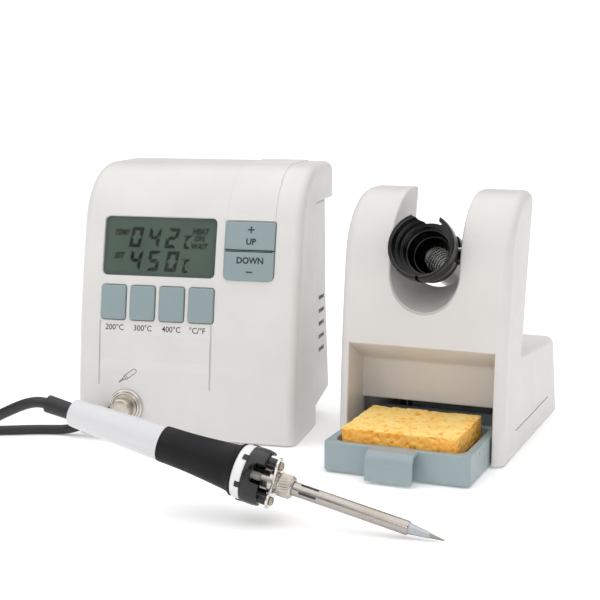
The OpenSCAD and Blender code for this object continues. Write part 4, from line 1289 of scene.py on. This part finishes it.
def make_sponge():
    """Cut cellulose sponge: soft corners, uneven faces and open pores of many sizes."""
    points, faces = sponge_grid(0.55)
    low, high = np.array(SPONGE_LOW), np.array(SPONGE_HIGH)
    middle, half = (low + high) / 2, (high - low) / 2
    radius = 1.3
    local = points - middle
    core = np.clip(local, -(half - radius), half - radius)
    away = local - core
    length = np.maximum(np.linalg.norm(away, axis=1, keepdims=True), 1e-9)
    points = middle + core + away / length * radius
    normals = away / length
    rng = np.random.default_rng(7)
    pore_shade, depth = np.zeros(len(points)), np.zeros(len(points))
    tree = KDTree(len(points))
    for i, p in enumerate(points):
        tree.insert(p, i)
    tree.balance()
    sizes = ((60, 1.5, 2.3, 0.9), (330, 0.9, 1.5, 0.75), (1500, 0.55, 0.9, 0.5))
    for count, small, large, deep in sizes:
        for centre in rng.integers(0, len(points), count):
            r = rng.uniform(small, large)
            squash = rng.uniform(0.55, 1.0)
            slant = rng.uniform(0, math.pi)
            for _, i, distance in tree.find_range(points[centre], r * 1.25):
                offset = points[i] - points[centre]
                along = offset[0] * math.cos(slant) + offset[1] * math.sin(slant)
                d = math.sqrt(max(0.0, distance ** 2 + along ** 2 * (1 / squash ** 2 - 1))) / r
                if d < 1:
                    bowl = 1 - d * d
                    depth[i] = max(depth[i], deep * bowl ** 0.6)
                    # The deeper a point lies in a pore, the more of the darker orange it takes: painted shade
                    # in the pores.
                    pore_shade[i] = max(pore_shade[i], min(1.0, bowl * 1.7 * deep))
    swell = np.array([noise.noise(Vector(p) * 0.09) * 0.45 + noise.noise(Vector(p) * 0.45) * 0.22
                      for p in points])
    points = points + normals * (np.minimum(swell - 0.3, 0.0) - depth)[:, None]
    mesh = bpy.data.meshes.new("sponge")
    mesh.from_pydata(points.tolist(), [], faces)
    layer = mesh.attributes.new("pore_shade", "FLOAT", "POINT")
    layer.data.foreach_set("value", pore_shade)
    sponge = publish("cleaning_sponge", mesh, HOLDER, "sponge", "sponge", ["sponge"], 80,
                     weighted=False)


def make_tie():
    """Flat strap round the coil."""
    place = Matrix.Translation((COIL_AT[0] - COIL_R, COIL_AT[1], 0))
    outer = fillet([(-9.5, 0), (9.5, 0), (9.5, 12), (-9.5, 12)], [0.4, 0.4, 2.4, 2.4], 5)
    inner = inset(outer, 0.44)
    levels = ((outer, -2.4), (outer, 2.4), (inner, 2.4), (inner, -2.4))
    strap = skin([[(x, y, z) for x, z in path] for path, y in levels], closed=True)
    return publish("coil_tie", strap, place, "black", "station", ["cord_tie"], 40)


# ---- materials of the CAD nodes that stay ----
NODE_MATERIALS = {
    "base_plate": "sheet_steel", "station_feet": "foot", "case_screws": "screw", "display_board": "board",
    "tact_switches": "parts", "main_board": "board", "board_parts": "parts", "transformer_core": "core",
    "transformer_coil": "copper", "transformer_bracket": "sheet_steel", "socket_body": "black",
    "switch_frame": "black", "power_rocker": "black", "fuse_holder": "black", "mains_gland": "black",
    "thread_nipple": "nut", "heater_rod": "ceramic", "terminal_board": "board", "holder_base": "sheet_steel",
    "holder_weight": "core", "holder_feet": "foot", "holder_screws": "screw", "funnel_pins": "screw",
}


def dress_nodes():
    for name, key in NODE_MATERIALS.items():
        mesh = frame["nodes"][name].data
        mesh.materials.clear()
        mesh.materials.append(materials[key])
        mesh.shade_smooth()
        mesh.set_sharp_from_angle(angle=math.radians(30))


# ---- floor and light ----
FLOOR_REACH = 6         # metres from the middle to each side of the floor
SKY_STOPS = ((0.0, 0.57), (0.08, 0.57), (0.2, 0.14), (0.5, 0.16), (0.75, 0.9), (1.0, 0.97))
SKY_STRENGTH = 1.8


def make_stage():
    """A white floor, and a sky with a dark band that the shiny parts reflect."""
    s = Shader("studio_floor", 0.75)
    s.colour(s.blend(s.remap(s.noise(3), 0.3, 0.7, 0, 1), linear(247, 247, 247), linear(250, 250, 250)))
    s.shader.inputs["Emission Color"].default_value = linear(255, 255, 255)
    s.shader.inputs["Emission Strength"].default_value = 0.16
    corners = [(x, y, 0) for x, y in rectangle(0, 0, 2 * FLOOR_REACH, 2 * FLOOR_REACH)]
    floor = bpy.data.objects.new("floor", mesh_of(corners, [(0, 1, 2, 3)]))
    floor.data.materials.append(s.material)
    bpy.context.scene.collection.objects.link(floor)
    world = bpy.data.worlds.new("studio")
    bpy.context.scene.world = world
    world.use_nodes = True
    nodes, links = world.node_tree.nodes, world.node_tree.links
    direction = nodes.new("ShaderNodeTexCoord").outputs["Generated"]
    split = nodes.new("ShaderNodeSeparateXYZ")
    links.new(direction, split.inputs[0])
    ramp = nodes.new("ShaderNodeValToRGB")
    while len(ramp.color_ramp.elements) < len(SKY_STOPS):
        ramp.color_ramp.elements.new(0.5)
    for element, (at, level) in zip(ramp.color_ramp.elements, SKY_STOPS):
        element.position = at
        element.color = (level, level, level, 1)
    links.new(split.outputs["Z"], ramp.inputs["Fac"])
    background = nodes["Background"]
    links.new(ramp.outputs["Color"], background.inputs["Color"])
    background.inputs["Strength"].default_value = SKY_STRENGTH
    area_light("front_left", (-1.1, -1.2, 0.8), (0, 0, 0.08), 0.8, 2.4)
    area_light("front_low", (0.1, -1.3, 0.5), (0.05, 0, 0.1), 0.5, 1.7)
    scene = bpy.context.scene
    scene.view_settings.view_transform = "Standard"
    scene.view_settings.look = "None"


def area_light(name, at, target, size, power):
    data = bpy.data.lights.new(name, "AREA")
    data.shape = "SQUARE"
    data.size = size
    data.energy = power
    light = bpy.data.objects.new(name, data)
    light.location = at
    light.rotation_euler = (Vector(target) - Vector(at)).to_track_quat("-Z", "Y").to_euler()
    bpy.context.scene.collection.objects.link(light)


make_front_shell()
make_rear_cover()
make_keys()
make_display()
make_printing()
make_socket()
plug_relief = make_plug_boot()
make_tip()
make_barrel()
make_nut()
make_flange()
make_flange_screws()
make_guard()
make_collar()
make_grip()
make_handle()
make_boot()
make_holder_shell()
make_funnel()
make_rest_spring()
make_tray()
make_sponge()
tie = make_tie()
dress_nodes()
make_stage()
